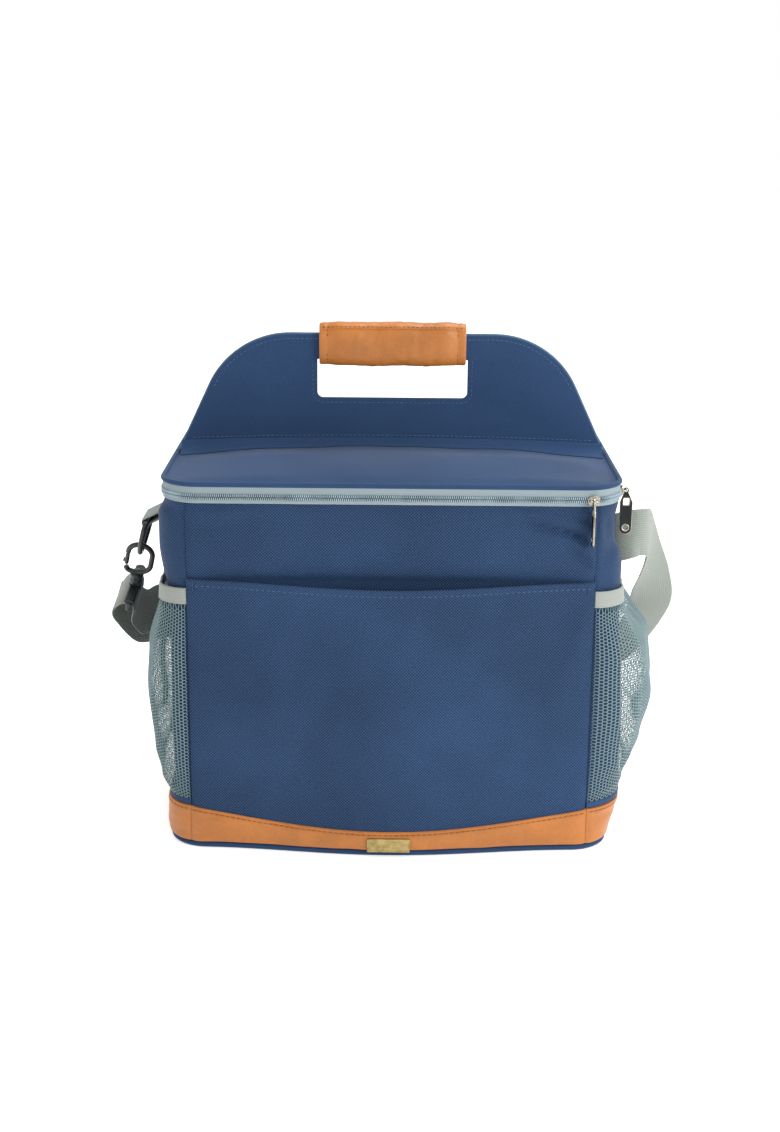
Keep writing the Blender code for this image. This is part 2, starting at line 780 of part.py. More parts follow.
def make_hook():
    black = material("black_plastic", BLACK, 0.4)
    width, top, foot = HOOK_HALF, HOOK_TOP, HOOK_FOOT
    round_steps = 8
    path = [hook_point(-width, top + width + 0.0012)]
    for i in range(round_steps + 1):
        angle = math.pi - math.pi * i / round_steps
        path.append(hook_point(width * math.cos(angle), top + width - width * math.sin(angle)))
    path.append(hook_point(width, foot - width))
    for i in range(1, 4):
        angle = math.pi / 2 * i / 3
        path.append(hook_point(width * math.cos(angle), foot - width + width * math.sin(angle)))
    path.append(hook_point(0.0, foot + 0.004))
    hook = add_object("snap_hook", tube_along(path, HOOK_WIRE, 8, False), black)
    collar = [hook_point(0.0, d) for d in (0.0240, 0.0360)]
    pin = [hook_point(0.0, d) for d in (0.0350, 0.0402)]
    heel = [hook_point(0.001, foot + 0.0012), hook_point(-0.0072, foot + 0.0006),
            hook_point(-width, foot - 0.0030)]
    boolean(hook, cutter("hook_collar", tube_along(collar, 0.0056, 12, False)), "UNION")
    boolean(hook, cutter("hook_pin", tube_along(pin, 0.0016, 10, False)), "UNION")
    boolean(hook, cutter("hook_heel", tube_along(heel, HOOK_WIRE, 8, False)), "UNION")
    gate = [hook_point(-width, d) for d in (foot - 0.0030 - 0.0030, top + width + 0.0018)]
    made = add_object("hook_gate", tube_along(gate, 0.0018, 8, False), black)
    on_axis(hook, hook_point(0.0, 0.0))
    on_axis(made, hook_point(-width, foot - 0.0060))


def slab_by_hook(side, down, along):
    """Box by the hook's axes, from (low, high) pairs."""
    bm = box_mesh((side[0], down[0], along[0]), (side[1], down[1], along[1]))
    for vert in bm.verts:
        vert.co = hook_point(vert.co.x, vert.co.y, vert.co.z)
    return bm


BAR_DOWN = 0.0472
BASE_HALF = 0.0235


def make_hook_base():
    black = material("black_plastic", BLACK, 0.4)
    crossbar = slab_by_hook((-0.0042, 0.0042), (0.0364, 0.0408), (-BASE_HALF, BASE_HALF))
    base = add_object("hook_swivel_base", crossbar, black, smooth=False)
    for tag, end in (("near", 1), ("far", -1)):
        leg = sorted((end * BASE_HALF, end * (BASE_HALF - 0.0034)))
        upright = slab_by_hook((-0.0026, 0.0026), (0.0400, BAR_DOWN + 0.0022), leg)
        boolean(base, cutter(f"base_leg_{tag}", upright), "UNION")
    line = [hook_point(0.0, BAR_DOWN, a) for a in (-BASE_HALF + 0.001, BASE_HALF - 0.001)]
    boolean(base, cutter("base_bar", tube_along(line, BAR_R, 10, False)), "UNION")
    hole = [hook_point(0.0, d) for d in (0.0340, 0.0430)]
    boolean(base, cutter("base_hole", tube_along(hole, 0.0020, 12, False)), "DIFFERENCE")


def vec(x, y, z):
    return Vector((x, y, z))


def strap_stations():
    """Strap's centre line and width direction, from the sewn right end to its tail at the adjuster."""
    n = -BAR_ALONG
    q = BAR_DOWN
    stations = [
        (vec(0.1716, 0.048, 0.2262), vec(0, 0, 1)),
        (vec(0.1716, 0.020, 0.2262), vec(0, 0, 1)),
        (vec(0.1722, -0.002, 0.2264), vec(0, 0, 1)),
        (vec(0.1790, -0.014, 0.2266), vec(0.02, 0.10, 1)),
        (vec(0.1910, -0.018, 0.2308), vec(0.0, 0.14, 1)),
        (vec(0.2010, -0.014, 0.2312), vec(0.0, 0.0, 1)),
        (vec(0.2078, 0.0000, 0.2262), vec(0.02, 0.10, 1.00)),
        (vec(0.2121, 0.0180, 0.2108), vec(0.32, 0.62, 0.72)),
        (vec(0.2156, 0.0350, 0.1923), vec(0.57, 0.56, 0.60)),
        (vec(0.2198, 0.0530, 0.1704), vec(0.87, 0.30, 0.39)),
        (vec(0.2231, 0.0700, 0.1482), vec(0.99, 0.12, 0.08)),
        (vec(0.2195, 0.0850, 0.1270), vec(0.96, 0.27, -0.08)),
        (vec(0.2111, 0.0990, 0.1056), vec(0.89, 0.40, -0.22)),
        (vec(0.1950, 0.1170, 0.0860), vec(0.62, 0.26, -0.70)),
        (vec(0.1740, 0.1340, 0.0650), vec(0.48, 0.40, -0.78)),
        (vec(0.1420, 0.148, 0.0460), vec(0.30, 0.70, -0.62)),
        (vec(0.1020, 0.160, 0.0220), vec(0.12, 0.92, -0.34)),
        (vec(0.0600, 0.167, 0.0060), vec(0.03, 1.0, -0.06)),
        (vec(0.0200, 0.170, 0.0018), vec(0.0, 1.0, 0.0)),
        (vec(-0.0100, 0.170, 0.0024), vec(0.0, 1.0, 0.0)),
        (vec(-0.0380, 0.168, 0.0130), vec(-0.03, 1.0, 0.16)),
        (vec(-0.0640, 0.163, 0.0330), vec(-0.10, 0.92, 0.36)),
        (vec(-0.0900, 0.158, 0.0530), vec(-0.10, 0.92, 0.36)),
        (vec(-0.1160, 0.153, 0.0730), vec(-0.10, 0.92, 0.36)),
        (vec(-0.1420, 0.148, 0.0930), vec(-0.10, 0.92, 0.36)),
        (vec(-0.1700, 0.132, 0.1080), vec(-0.10, 0.66, 0.74)),
        (vec(-0.1950, 0.104, 0.1190), vec(0.02, 0.30, 0.95)),
        (vec(-0.2080, 0.070, 0.1260), vec(0.06, 0.30, 0.95)),
        (vec(-0.2140, 0.042, 0.1370), vec(0.10, 0.55, 0.83)),
        (hook_point(-0.0105, q + 0.0150), n),
        (hook_point(-0.0108, q + 0.0060), n),
        (hook_point(-0.0070, q - 0.0012), n),
        (hook_point(-0.0026, q - 0.0034), n),
        (hook_point(0.0010, q - 0.0034), n),
        (hook_point(0.0038, q - 0.0006), n),
        (hook_point(0.0046, q + 0.0060), n),
        (hook_point(0.0050, q + 0.0140), n),
        (vec(-0.2060, 0.038, 0.1440), vec(0.10, 0.55, 0.83)),
        (vec(-0.2010, 0.068, 0.1390), vec(0.06, 0.30, 0.95)),
        (vec(-0.1880, 0.100, 0.1330), vec(0.02, 0.30, 0.95)),
        (vec(-0.1640, 0.126, 0.1200), vec(-0.10, 0.66, 0.74)),
    ]
    lift = vec(0.0, -0.28, 0.72).normalized() * 0.0042
    for k in (24, 23, 22):
        place, across = stations[k]
        stations.append((place + lift, across))
    return stations


def ribbon(stations, half, thick, steps):
    """Flat webbing: a thin rectangle carried along the stations."""
    centres = smooth_curve([s[0] for s in stations], steps)
    widths = smooth_curve([s[1].normalized() for s in stations], steps)
    outer, inner = [], []
    for i, centre in enumerate(centres):
        along = (centres[min(i + 1, len(centres) - 1)] - centres[max(i - 1, 0)]).normalized()
        across = (widths[i] - along * widths[i].dot(along)).normalized()
        facing = along.cross(across)
        outer.append([centre + across * half * k + facing * thick / 2 for k in (-1, 1)])
        inner.append([centre + across * half * k - facing * thick / 2 for k in (-1, 1)])
    return grid_solid(outer, inner)


def make_strap():
    web = material("webbing", PALE, 0.85)
    stations = strap_stations()
    add_object("shoulder_strap", ribbon(stations, WEB_HALF, WEB_THICK, 2), web)
    patch = box_mesh((HALF_X + 0.0024, 0.030, 0.2082), (HALF_X + 0.0034, 0.048, 0.2442))
    add_object("strap_end_patch", patch, web, smooth=False)


def make_adjuster():
    """Plastic slide that holds both layers of the strap."""
    stations = strap_stations()
    a, b = stations[22], stations[23]
    along = (b[0] - a[0]).normalized()
    across = (a[1] - along * a[1].dot(along)).normalized()
    lift = vec(0.0, -0.28, 0.72).normalized()
    facing = (lift - along * lift.dot(along) - across * lift.dot(across)).normalized()
    centre = (a[0] + b[0]) / 2 + lift * 0.0021

    def block(sizes, shift):
        bm = box_mesh([-s for s in sizes], sizes)
        for vert in bm.verts:
            vert.co = centre + along * vert.co.x + across * vert.co.y + facing * (vert.co.z + shift)
        return bm

    made = add_object("strap_adjuster", block((0.0100, WEB_HALF + 0.0040, 0.0052), 0.0),
                      material("black_plastic", BLACK, 0.4), smooth=False)
    lift_step = facing.dot(lift) * 0.0021
    for tag, shift in (("upper", lift_step), ("lower", -lift_step)):
        opening = block((0.02, WEB_HALF + 0.0010, WEB_THICK / 2 + 0.0006), shift)
        slot = cutter(f"adjuster_slot_{tag}", opening)
        boolean(made, slot, "DIFFERENCE")


def main():
    clear_scene()
    make_walls()
    make_base()
    make_liner()
    make_front_pocket()
    make_trim_band()
    make_badge()
    make_side_pockets()
    make_zip()
    make_lid()
    make_lid_hinge()
    make_handle()
    make_sliders()
    make_strap_tab()
    make_d_ring()
    make_hook()
    make_hook_base()
    make_strap()
    make_adjuster()


main()
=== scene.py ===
"""Looks of the insulated cooler bag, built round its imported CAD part.

Metres, +Z up. The origin is the centre of the flat underside, and the front faces -Y.
"""

import math

import bmesh
import bpy
import numpy as np
from mathutils import Matrix, Vector


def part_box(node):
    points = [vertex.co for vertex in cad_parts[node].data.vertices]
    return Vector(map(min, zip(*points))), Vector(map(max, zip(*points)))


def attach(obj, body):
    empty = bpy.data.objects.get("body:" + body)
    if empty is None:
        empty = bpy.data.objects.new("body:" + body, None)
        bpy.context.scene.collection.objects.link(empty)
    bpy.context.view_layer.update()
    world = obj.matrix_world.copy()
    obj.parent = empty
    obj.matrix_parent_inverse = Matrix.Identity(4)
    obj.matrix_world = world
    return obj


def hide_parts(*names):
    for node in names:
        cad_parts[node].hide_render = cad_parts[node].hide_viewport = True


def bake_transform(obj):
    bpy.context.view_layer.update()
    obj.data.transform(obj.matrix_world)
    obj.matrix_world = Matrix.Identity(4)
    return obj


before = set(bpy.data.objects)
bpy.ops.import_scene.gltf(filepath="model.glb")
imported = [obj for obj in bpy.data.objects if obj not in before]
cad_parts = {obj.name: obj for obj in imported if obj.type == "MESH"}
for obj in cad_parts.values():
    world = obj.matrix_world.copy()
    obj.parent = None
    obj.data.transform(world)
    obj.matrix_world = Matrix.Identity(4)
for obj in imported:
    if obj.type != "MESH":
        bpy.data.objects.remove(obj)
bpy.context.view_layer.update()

# --- Driving sizes, the same as the CAD part's ---------------------------------

GAP = 0.0004
HALF_X = 0.170
HALF_Y = 0.110
CORNER_R = 0.028
SEAM_X = 0.152  # where the front and back panels meet the side panels
FABRIC = 0.0012
FOAM = 0.0058
LINER = 0.0008
WALL_LOW = 0.0058
WALL_TOP = 0.2758
FRONT_BULGE = 0.0125
BACK_BULGE = 0.004
PIPING_R = 0.0024
BOARD = 0.003
TAPE_LOW = (0.2762, 0.2786)
COIL_LOW = (0.2787, 0.2808)
COIL_UP = (0.2812, 0.2833)
TAPE_UP = (0.2834, 0.2892)
LID_TOP = 0.2897
LID_LINER = 0.2808
LID_DOME = 0.0085
HANDLE_AXIS_Z = LID_TOP + 0.0048
PANEL_HALF = 0.1665
PANEL_LOW = HANDLE_AXIS_Z + 0.0008
PANEL_TOP = 0.3850
SHOULDER_R = 0.071
SLANT = math.radians(64.7)
CUT_HALF = 0.0588
CUT_LOW = 0.3350
CUT_HIGH = 0.3655
CUT_R = 0.0045
GRIP_HALF = 0.0570
GRIP_LOW = 0.3605
GRIP_TOP = 0.3945
GRIP_DEEP = 0.0105
LEATHER = 0.0014
POCKET_LOW = 0.010
POCKET_TOP = 0.2180
POCKET_DIP = 0.0035
POCKET_SLACK = 0.0115
BAND_MIDDLE = 0.0205
BAND_RISE = 0.0145
BAND_OUT = 0.0021
BINDING_TALL = 0.0125
BINDING_TOP = 0.2105
BINDING_SAG = 0.006
NET_LOW = 0.0368
WEB_HALF = 0.019
WEB_THICK = 0.0014
D_BAR = Vector((-0.1930, -0.010, 0.2385))
D_WIRE = 0.0021
D_DROP = 0.029
D_HALF = 0.0205

LONG_X = HALF_X - CORNER_R
LONG_Y = HALF_Y - CORNER_R
ARC = CORNER_R * math.pi / 2
QUARTER = LONG_X + ARC + LONG_Y  # length of the plan's edge from one middle to the next
SEAM = (LONG_X + CORNER_R * math.asin((SEAM_X - LONG_X) / CORNER_R)) / QUARTER


# --- Shapes ----------------------------------------------------------------------


def outline(t):
    """Points and outward normals of the rounded plan at t: 0 front, 1 right, 2 back, 3 left middle."""
    t = np.asarray(t, float)
    quarter = np.floor(t).astype(int) % 4
    share = t - np.floor(t)
    run = np.where(quarter % 2 == 1, 1 - share, share) * QUARTER
    angle = np.clip((run - LONG_X) / CORNER_R, 0, math.pi / 2)
    nx, ny = np.sin(angle), -np.cos(angle)
    x = np.minimum(run, LONG_X) + CORNER_R * nx
    y = -LONG_Y + CORNER_R * ny + np.maximum(run - LONG_X - ARC, 0)
    side_x = np.where(quarter < 2, 1, -1)
    side_y = np.where((quarter == 0) | (quarter == 3), 1, -1)
    return np.stack([side_x * x, side_y * y], -1), np.stack([side_x * nx, side_y * ny], -1)


def outward(t):
    """The plan's outward normals at t, as level vectors."""
    return at_height(outline(t)[1], 0.0)


def at_height(points, z):
    """Points (n, 2) of the plan, lifted to height z."""
    return np.concatenate([points, np.full((len(points), 1), z)], -1)


def fade(value, low, high):
    """0 below low, 1 above high, and a smooth rise between."""
    share = np.clip((value - low) / (high - low), 0, 1)
    return share * share * (3 - 2 * share)


def bulge(place, z):
    across = np.cos(np.pi * np.minimum(np.abs(place[..., 0]) / SEAM_X, 1) / 2) ** 2
    down = 1 - fade(z, 0.0, WALL_TOP * 0.95)
    front = FRONT_BULGE * across * (0.1 + 0.9 * down) * (1 - fade(z, 0.24, WALL_TOP))
    back = BACK_BULGE * across * (1 - fade(z, 0.16, 0.235))
    y = place[..., 1]
    return np.where(y < -HALF_Y * 0.9, front, np.where(y > HALF_Y * 0.9, back, 0.0))


def wall(t, z, out):
    """Points that stand out metres outside the bag's outer surface."""
    t, z, out = np.broadcast_arrays(np.asarray(t, float), z, out)
    place, normal = outline(t)
    spot = place + normal * (out + bulge(place, z))[..., None]
    return np.concatenate([spot, z[..., None]], -1)


def straight(t, z, out):
    """As wall(), without the bulges of the front and back."""
    t, z, out = np.broadcast_arrays(np.asarray(t, float), z, out)
    place, normal = outline(t)
    return np.concatenate([place + normal * out[..., None], z[..., None]], -1)


def spread(start, end, step):
    """Places from start to end, about step apart."""
    return np.linspace(start, end, max(2, round(abs(end - start) / step) + 1))


def ripple(u, v, size, seed):
    """Soft unevenness between about -1 and 1, with hollows about size apart."""
    dice = np.random.default_rng(seed)
    total = 0
    for _ in range(7):
        angle = dice.uniform(0, 2 * math.pi)
        pace = 2 * math.pi / (size * dice.uniform(0.7, 1.6))
        total = total + np.sin(pace * (u * math.cos(angle) + v * math.sin(angle)) + dice.uniform(0, 7))
    return total / 3.5


def crease(u, v, start, end, width):
    """Height of a soft fold along a line: 1 along its middle, and falling to 0 each side and at its ends."""
    along = np.subtract(end, start)
    share = ((u - start[0]) * along[0] + (v - start[1]) * along[1]) / (along @ along)
    share = np.clip(share, 0, 1)
    off = (u - start[0] - share * along[0]) ** 2 + (v - start[1] - share * along[1]) ** 2
    return np.exp(-off / width**2) * np.sin(np.pi * (0.1 + 0.8 * share))


def dip(value, width):
    """1 where value is 0, and falling to 0 over about width each side."""
    return np.exp(-((value / width) ** 2))


def unit(vectors):
    return vectors / np.maximum(np.linalg.norm(vectors, axis=-1, keepdims=True), 1e-12)


def bound(sheet_points):
    """Unit normals of a grid of points."""
    return unit(np.cross(np.gradient(sheet_points, axis=0), np.gradient(sheet_points, axis=1)))


# --- Meshes -----------------------------------------------------------------------


def make_mesh(name, verts, faces, uv=None):
    mesh = bpy.data.meshes.new(name)
    mesh.from_pydata(np.asarray(verts, float).tolist(), [], [list(map(int, f)) for f in faces])
    if uv is not None:
        layer = mesh.uv_layers.new(name="Weave")
        flat = [c for face in uv for corner in face for c in corner]
        layer.data.foreach_set("uv", np.asarray(flat, np.float32))
    return mesh


def piece(name, mesh, finish, body, stands_for=(), sharp=38, outward=True):
    """Make the mesh a piece of the bag, riding on a CAD body."""
    if outward:
        bm = bmesh.new()
        bm.from_mesh(mesh)
        bmesh.ops.recalc_face_normals(bm, faces=bm.faces)
        bm.to_mesh(mesh)
        bm.free()
    mesh.name = name
    mesh.shade_smooth()
    mesh.set_sharp_from_angle(angle=math.radians(sharp))
    mesh.materials.clear()
    mesh.materials.append(finish)
    made = bpy.data.objects.new(name, mesh)
    bpy.context.scene.collection.objects.link(made)
    if isinstance(body, str):
        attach(made, body)
    else:
        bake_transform(made)
    if stands_for:
        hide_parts(*stands_for)
    return made


def grid_corners(rows, columns, closed):
    """Corners of a grid's faces as (faces, 4, 2) row and column numbers, which run on past the last row."""
    i, j = np.meshgrid(np.arange(rows if closed else rows - 1), np.arange(columns - 1), indexing="ij")
    corners = [(i, j), (i + 1, j), (i + 1, j + 1), (i, j + 1)]
    return np.stack([np.stack(c, -1) for c in corners], -2).reshape(-1, 4, 2)


def lengths(points, closed):
    """Distance travelled along a line of points."""
    steps = np.linalg.norm(np.diff(points, axis=0), axis=1)
    if closed:
        steps = np.append(steps, np.linalg.norm(points[0] - points[-1]))
    return np.concatenate([[0], np.cumsum(steps)])


def shell(name, outer, inner, closed=False):
    """Closed sheet between two matching grids of points; closed joins the last row to the first."""
    rows, columns = outer.shape[:2]
    count = rows * columns
    corners = grid_corners(rows, columns, closed)
    ids = (corners[..., 0] % rows) * columns + corners[..., 1]
    u = lengths(outer[:, columns // 2], closed)
    v = lengths(outer[rows // 2], False)
    uv = np.stack([u[corners[..., 0]], v[corners[..., 1]]], -1)
    faces = [ids, ids[:, ::-1] + count]
    maps = [uv, uv[:, ::-1]]
    for j in (0, columns - 1):
        a = np.arange(rows if closed else rows - 1)
        b = (a + 1) % rows
        near, far = a * columns + j, b * columns + j
        faces.append(np.stack([near, far, far + count, near + count], -1))
        maps.append(np.stack([np.stack([u[a + k], np.full(len(a), v[j])], -1) for k in (0, 1, 1, 0)], 1))
    if not closed:
        for i in (0, rows - 1):
            a = np.arange(columns - 1)
            first = i * columns + a
            faces.append(np.stack([first, first + 1, first + 1 + count, first + count], -1))
            maps.append(np.stack([np.stack([np.full(len(a), u[i]), v[a + k]], -1) for k in (0, 1, 1, 0)], 1))
    verts = np.concatenate([outer.reshape(-1, 3), inner.reshape(-1, 3)])
    return make_mesh(name, verts, np.concatenate(faces), np.concatenate(maps))


def tube(name, path, radius, sides=12, closed=False):
    """Round tube along a path, with its own radius at each point; open ends are capped."""
    path = np.asarray(path, float)
    count = len(path)
    radius = np.broadcast_to(radius, count)
    if closed:
        along = unit(np.roll(path, -1, 0) - np.roll(path, 1, 0))
    else:
        along = unit(np.gradient(path, axis=0))
    seed = np.array([0.0, 0.0, 1.0]) if abs(along[0][2]) < 0.9 else np.array([1.0, 0.0, 0.0])
    across = np.empty_like(path)
    for i, direction in enumerate(along):
        seed = seed - direction * (seed @ direction)
        seed = seed / np.linalg.norm(seed)
        across[i] = seed
    other = np.cross(along, across)
    turn = np.arange(sides) * 2 * math.pi / sides
    ring = np.cos(turn)[None, :, None] * across[:, None] + np.sin(turn)[None, :, None] * other[:, None]
    verts = (path[:, None] + radius[:, None, None] * ring).reshape(-1, 3)
    rows = count if closed else count - 1
    i, j = np.meshgrid(np.arange(rows), np.arange(sides), indexing="ij")
    i, j = i.ravel(), j.ravel()
    k, m = (i + 1) % count, (j + 1) % sides
    faces = np.stack([i * sides + j, i * sides + m, k * sides + m, k * sides + j], -1).tolist()
    run = lengths(path, closed)
    girth = 2 * math.pi * float(radius.max()) / sides
    uv = [[(run[a + p], (b + q) * girth) for p, q in ((0, 0), (0, 1), (1, 1), (1, 0))] for a, b in zip(i, j)]
    if not closed:
        for end in (0, count - 1):
            faces.append([end * sides + n for n in range(sides)])
            uv.append([(0.0, n * girth) for n in range(sides)])
    return make_mesh(name, verts, faces, uv)


def joined(name, meshes):
    """One mesh from several."""
    bm = bmesh.new()
    for mesh in meshes:
        bm.from_mesh(mesh)
        bpy.data.meshes.remove(mesh)
    out = bpy.data.meshes.new(name)
    bm.to_mesh(out)
    bm.free()
    return out


def melted(name, meshes, size):
    """One moulded skin over several overlapping solids, by a voxel remesh."""
    mesh = joined(name, meshes)
    holder = bpy.data.objects.new(name, mesh)
    bpy.context.scene.collection.objects.link(holder)
    step = holder.modifiers.new("skin", "REMESH")
    step.mode = "VOXEL"
    step.voxel_size = size
    soften = holder.modifiers.new("soften", "SMOOTH")
    soften.factor = 0.5
    soften.iterations = 4
    bpy.context.view_layer.update()
    done = bpy.data.meshes.new_from_object(holder.evaluated_get(bpy.context.evaluated_depsgraph_get()))
    bpy.data.objects.remove(holder)
    return done


def flat_shape(name, loops, thick, round_by, segments=3):
    """Plate in X and Y with rounded edges; the loops after the first are holes. UVs are its own metres."""
    curve = bpy.data.curves.new(name, "CURVE")
    curve.dimensions = "2D"
    curve.fill_mode = "BOTH"
    curve.extrude = thick / 2 - round_by
    curve.bevel_depth = round_by
    curve.bevel_resolution = segments
    curve.offset = -round_by
    for loop in loops:
        spline = curve.splines.new("POLY")
        spline.points.add(len(loop) - 1)
        spline.use_cyclic_u = True
        for point, (x, y) in zip(spline.points, loop):
            point.co = (x, y, 0.0, 1.0)
    holder = bpy.data.objects.new(name, curve)
    bpy.context.scene.collection.objects.link(holder)
    bpy.context.view_layer.update()
    mesh = bpy.data.meshes.new_from_object(holder.evaluated_get(bpy.context.evaluated_depsgraph_get()))
    bpy.data.objects.remove(holder)
    bm = bmesh.new()
    bm.from_mesh(mesh)
    bmesh.ops.remove_doubles(bm, verts=bm.verts, dist=1e-6)
    layer = bm.loops.layers.uv.new("Weave")
    for face in bm.faces:
        for loop in face.loops:
            loop[layer].uv = loop.vert.co.xy
    bm.to_mesh(mesh)
    bm.free()
    return mesh


def upright(mesh, y=0.0):
    """Stand a flat shape up, so that its Y becomes Z and its front faces -Y."""
    mesh.transform(Matrix.Translation((0, y, 0)) @ Matrix.Rotation(math.pi / 2, 4, "X"))
    return mesh


def ring_faces(rings, sides):
    """Faces between neighbouring rings of points."""
    i, k = np.meshgrid(np.arange(rings - 1) * sides, np.arange(sides), indexing="ij")
    i, k = i.ravel(), k.ravel()
    m = (k + 1) % sides
    return np.stack([i + k, i + m, i + sides + m, i + sides + k], -1)


def stitches(name, path, lifted, pitch=0.0040, length=0.0029, radius=0.00030):
    """Row of separate thread stitches along a path; lifted is the surface's outward normal."""
    path = np.asarray(path, float)
    lifted = np.broadcast_to(np.asarray(lifted, float), path.shape)
    run = lengths(path, False)
    count = max(1, int(run[-1] / pitch))
    middle = (np.arange(count) + 0.5) * run[-1] / count
    reach = length / 2

    def at(values, where):
        return np.stack([np.interp(where, run, values[:, k]) for k in range(3)], -1)

    ends = [at(path, middle - reach), at(path, middle + reach)]
    along = unit(ends[1] - ends[0])
    lift = unit(at(lifted, middle))
    side = np.cross(along, lift)
    rings = [(-0.5, 0.25, -0.9), (-0.36, 0.85, 0.2), (0.0, 1.0, 0.55), (0.36, 0.85, 0.2), (0.5, 0.25, -0.9)]
    sides = 6
    turn = np.arange(sides) * 2 * math.pi / sides
    rows = []
    for place, fat, high in rings:
        centre = (ends[0] + ends[1]) / 2 + along * length * place + lift * radius * high
        ring = np.cos(turn)[:, None, None] * side + np.sin(turn)[:, None, None] * lift
        rows.append(centre + ring * radius * fat)
    verts = np.stack(rows).transpose(2, 0, 1, 3).reshape(-1, 3)
    every = ring_faces(len(rings), sides)[None] + (np.arange(count) * sides * len(rings))[:, None, None]
    return make_mesh(name, verts, every.reshape(-1, 4))


# --- Materials ----------------------------------------------------------------------


def fresh(name, **sockets):
    """New material; the keywords set its shader's own sockets."""
    made = bpy.data.materials.new(name)
    made.use_nodes = True
    tree = made.node_tree
    shader = tree.nodes["Principled BSDF"]
    for key, value in sockets.items():
        shader.inputs[key.replace("_", " ")].default_value = value
    return made, tree, shader


def node(tree, kind, inputs=(), **settings):
    made = tree.nodes.new("ShaderNode" + kind)
    for key, value in settings.items():
        setattr(made, key, value)
    for key, value in dict(inputs).items():
        if isinstance(value, bpy.types.NodeSocket):
            tree.links.new(value, made.inputs[key])
        else:
            made.inputs[key].default_value = value
    return made


def calc(tree, operation, a, b=0.0, c=0.0):
    return node(tree, "Math", {0: a, 1: b, 2: c}, operation=operation).outputs[0]


def uv_parts(tree):
    place = node(tree, "UVMap", uv_map="Weave").outputs["UV"]
    parts = node(tree, "SeparateXYZ", {0: place})
    return place, parts.outputs["X"], parts.outputs["Y"]


def object_place(tree):
    return node(tree, "TexCoord").outputs["Object"]


def noise(tree, place, scale, detail=3.0, rough=0.55):
    made = node(tree, "TexNoise", {"Vector": place, "Scale": scale, "Detail": detail, "Roughness": rough})
    return made.outputs["Fac"]


def colours(tree, factor, *stops):
    """Colour ramp through (place, colour) stops."""
    ramp = node(tree, "ValToRGB", {"Fac": factor})
    elements = ramp.color_ramp.elements
    while len(elements) < len(stops):
        elements.new(0.5)
    for element, (place, colour) in zip(elements, stops):
        element.position = place
        element.color = (*colour, 1.0)
    return ramp.outputs["Color"]


def ranged(tree, factor, low, high, start=0.0):
    """factor from start to 1 becomes low to high."""
    return node(tree, "MapRange", {0: factor, 1: start, 3: low, 4: high}).outputs[0]


def bump(tree, shader, height, distance, strength):
    made = node(tree, "Bump", {"Height": height, "Distance": distance, "Strength": strength})
    tree.links.new(made.outputs["Normal"], shader.inputs["Normal"])


def shade(colour, factor):
    return tuple(c * factor for c in colour)


def woven(name, colour, pitch, contrast=0.30, depth=0.00025, **sockets):
    """Plain weave: threads pass over each other in a chequer of the given thread pitch."""
    made, tree, shader = fresh(name, **sockets)
    place, u, v = uv_parts(tree)
    slub = noise(tree, place, 1 / (pitch * 5), 2.0)
    drift = ranged(tree, slub, -0.7, 0.7)
    waves = [calc(tree, "SINE", calc(tree, "MULTIPLY_ADD", way, math.pi / pitch, drift)) for way in (u, v)]
    over = calc(tree, "MULTIPLY", *waves)
    level = ranged(tree, over, 0.0, 1.0, start=-1.0)
    patches = noise(tree, object_place(tree), 9.0, 4.0)
    grain = noise(tree, place, 1 / (pitch * 1.3), 2.0)
    mix = calc(tree, "MULTIPLY_ADD", level, 0.62, calc(tree, "MULTIPLY", grain, 0.38))
    tone = calc(tree, "MULTIPLY_ADD", patches, 0.30, calc(tree, "MULTIPLY", mix, 0.70))
    paint = colours(tree, tone, (0.25, shade(colour, 1 - contrast)), (0.52, colour),
                    (0.78, shade(colour, 1 + contrast * 1.4)))
    tree.links.new(paint, shader.inputs["Base Color"])
    bump(tree, shader, mix, depth, 0.7)
    return made


def ribbed(name, colour, rib, weft, contrast=0.2, depth=0.0002, **sockets):
    """Webbing or tape: ribs along its length, crossed by fine weft threads."""
    made, tree, shader = fresh(name, **sockets)
    place, u, v = uv_parts(tree)
    ribs = calc(tree, "ABSOLUTE", calc(tree, "SINE", calc(tree, "MULTIPLY", v, math.pi / rib)))
    threads = calc(tree, "SINE", calc(tree, "MULTIPLY", u, 2 * math.pi / weft))
    threads = ranged(tree, threads, 0.0, 1.0, start=-1.0)
    grain = noise(tree, place, 1 / (weft * 2), 2.0)
    level = calc(tree, "MULTIPLY_ADD", ribs, 0.45, calc(tree, "MULTIPLY_ADD", threads, 0.25,
                                                        calc(tree, "MULTIPLY", grain, 0.30)))
    dark, light = shade(colour, 1 - contrast), shade(colour, 1 + contrast * 0.6)
    paint = colours(tree, level, (0.15, dark), (0.75, light))
    tree.links.new(paint, shader.inputs["Base Color"])
    bump(tree, shader, level, depth, 0.6)
    return made


def leather_finish(name, colour):
    made, tree, shader = fresh(name, Coat_Weight=0.12, Coat_Roughness=0.18, Specular_IOR_Level=0.4)
    place = object_place(tree)
    cells = node(tree, "TexVoronoi", {"Vector": place, "Scale": 1100.0}, feature="DISTANCE_TO_EDGE")
    pores = calc(tree, "MINIMUM", calc(tree, "MULTIPLY", cells.outputs[0], 3.0), 1.0)
    cloud = noise(tree, place, 38.0, 5.0)
    fine = noise(tree, place, 420.0, 3.0)
    tone = calc(tree, "MULTIPLY_ADD", cloud, 0.7, calc(tree, "MULTIPLY", fine, 0.3))
    paint = colours(tree, tone, (0.30, shade(colour, 0.78)), (0.52, colour), (0.75, shade(colour, 1.22)))
    tree.links.new(paint, shader.inputs["Base Color"])
    tree.links.new(ranged(tree, fine, 0.30, 0.52), shader.inputs["Roughness"])
    height = calc(tree, "MULTIPLY_ADD", pores, 0.35, calc(tree, "MULTIPLY", cloud, 1.0))
    bump(tree, shader, height, 0.0006, 0.45)
    return made


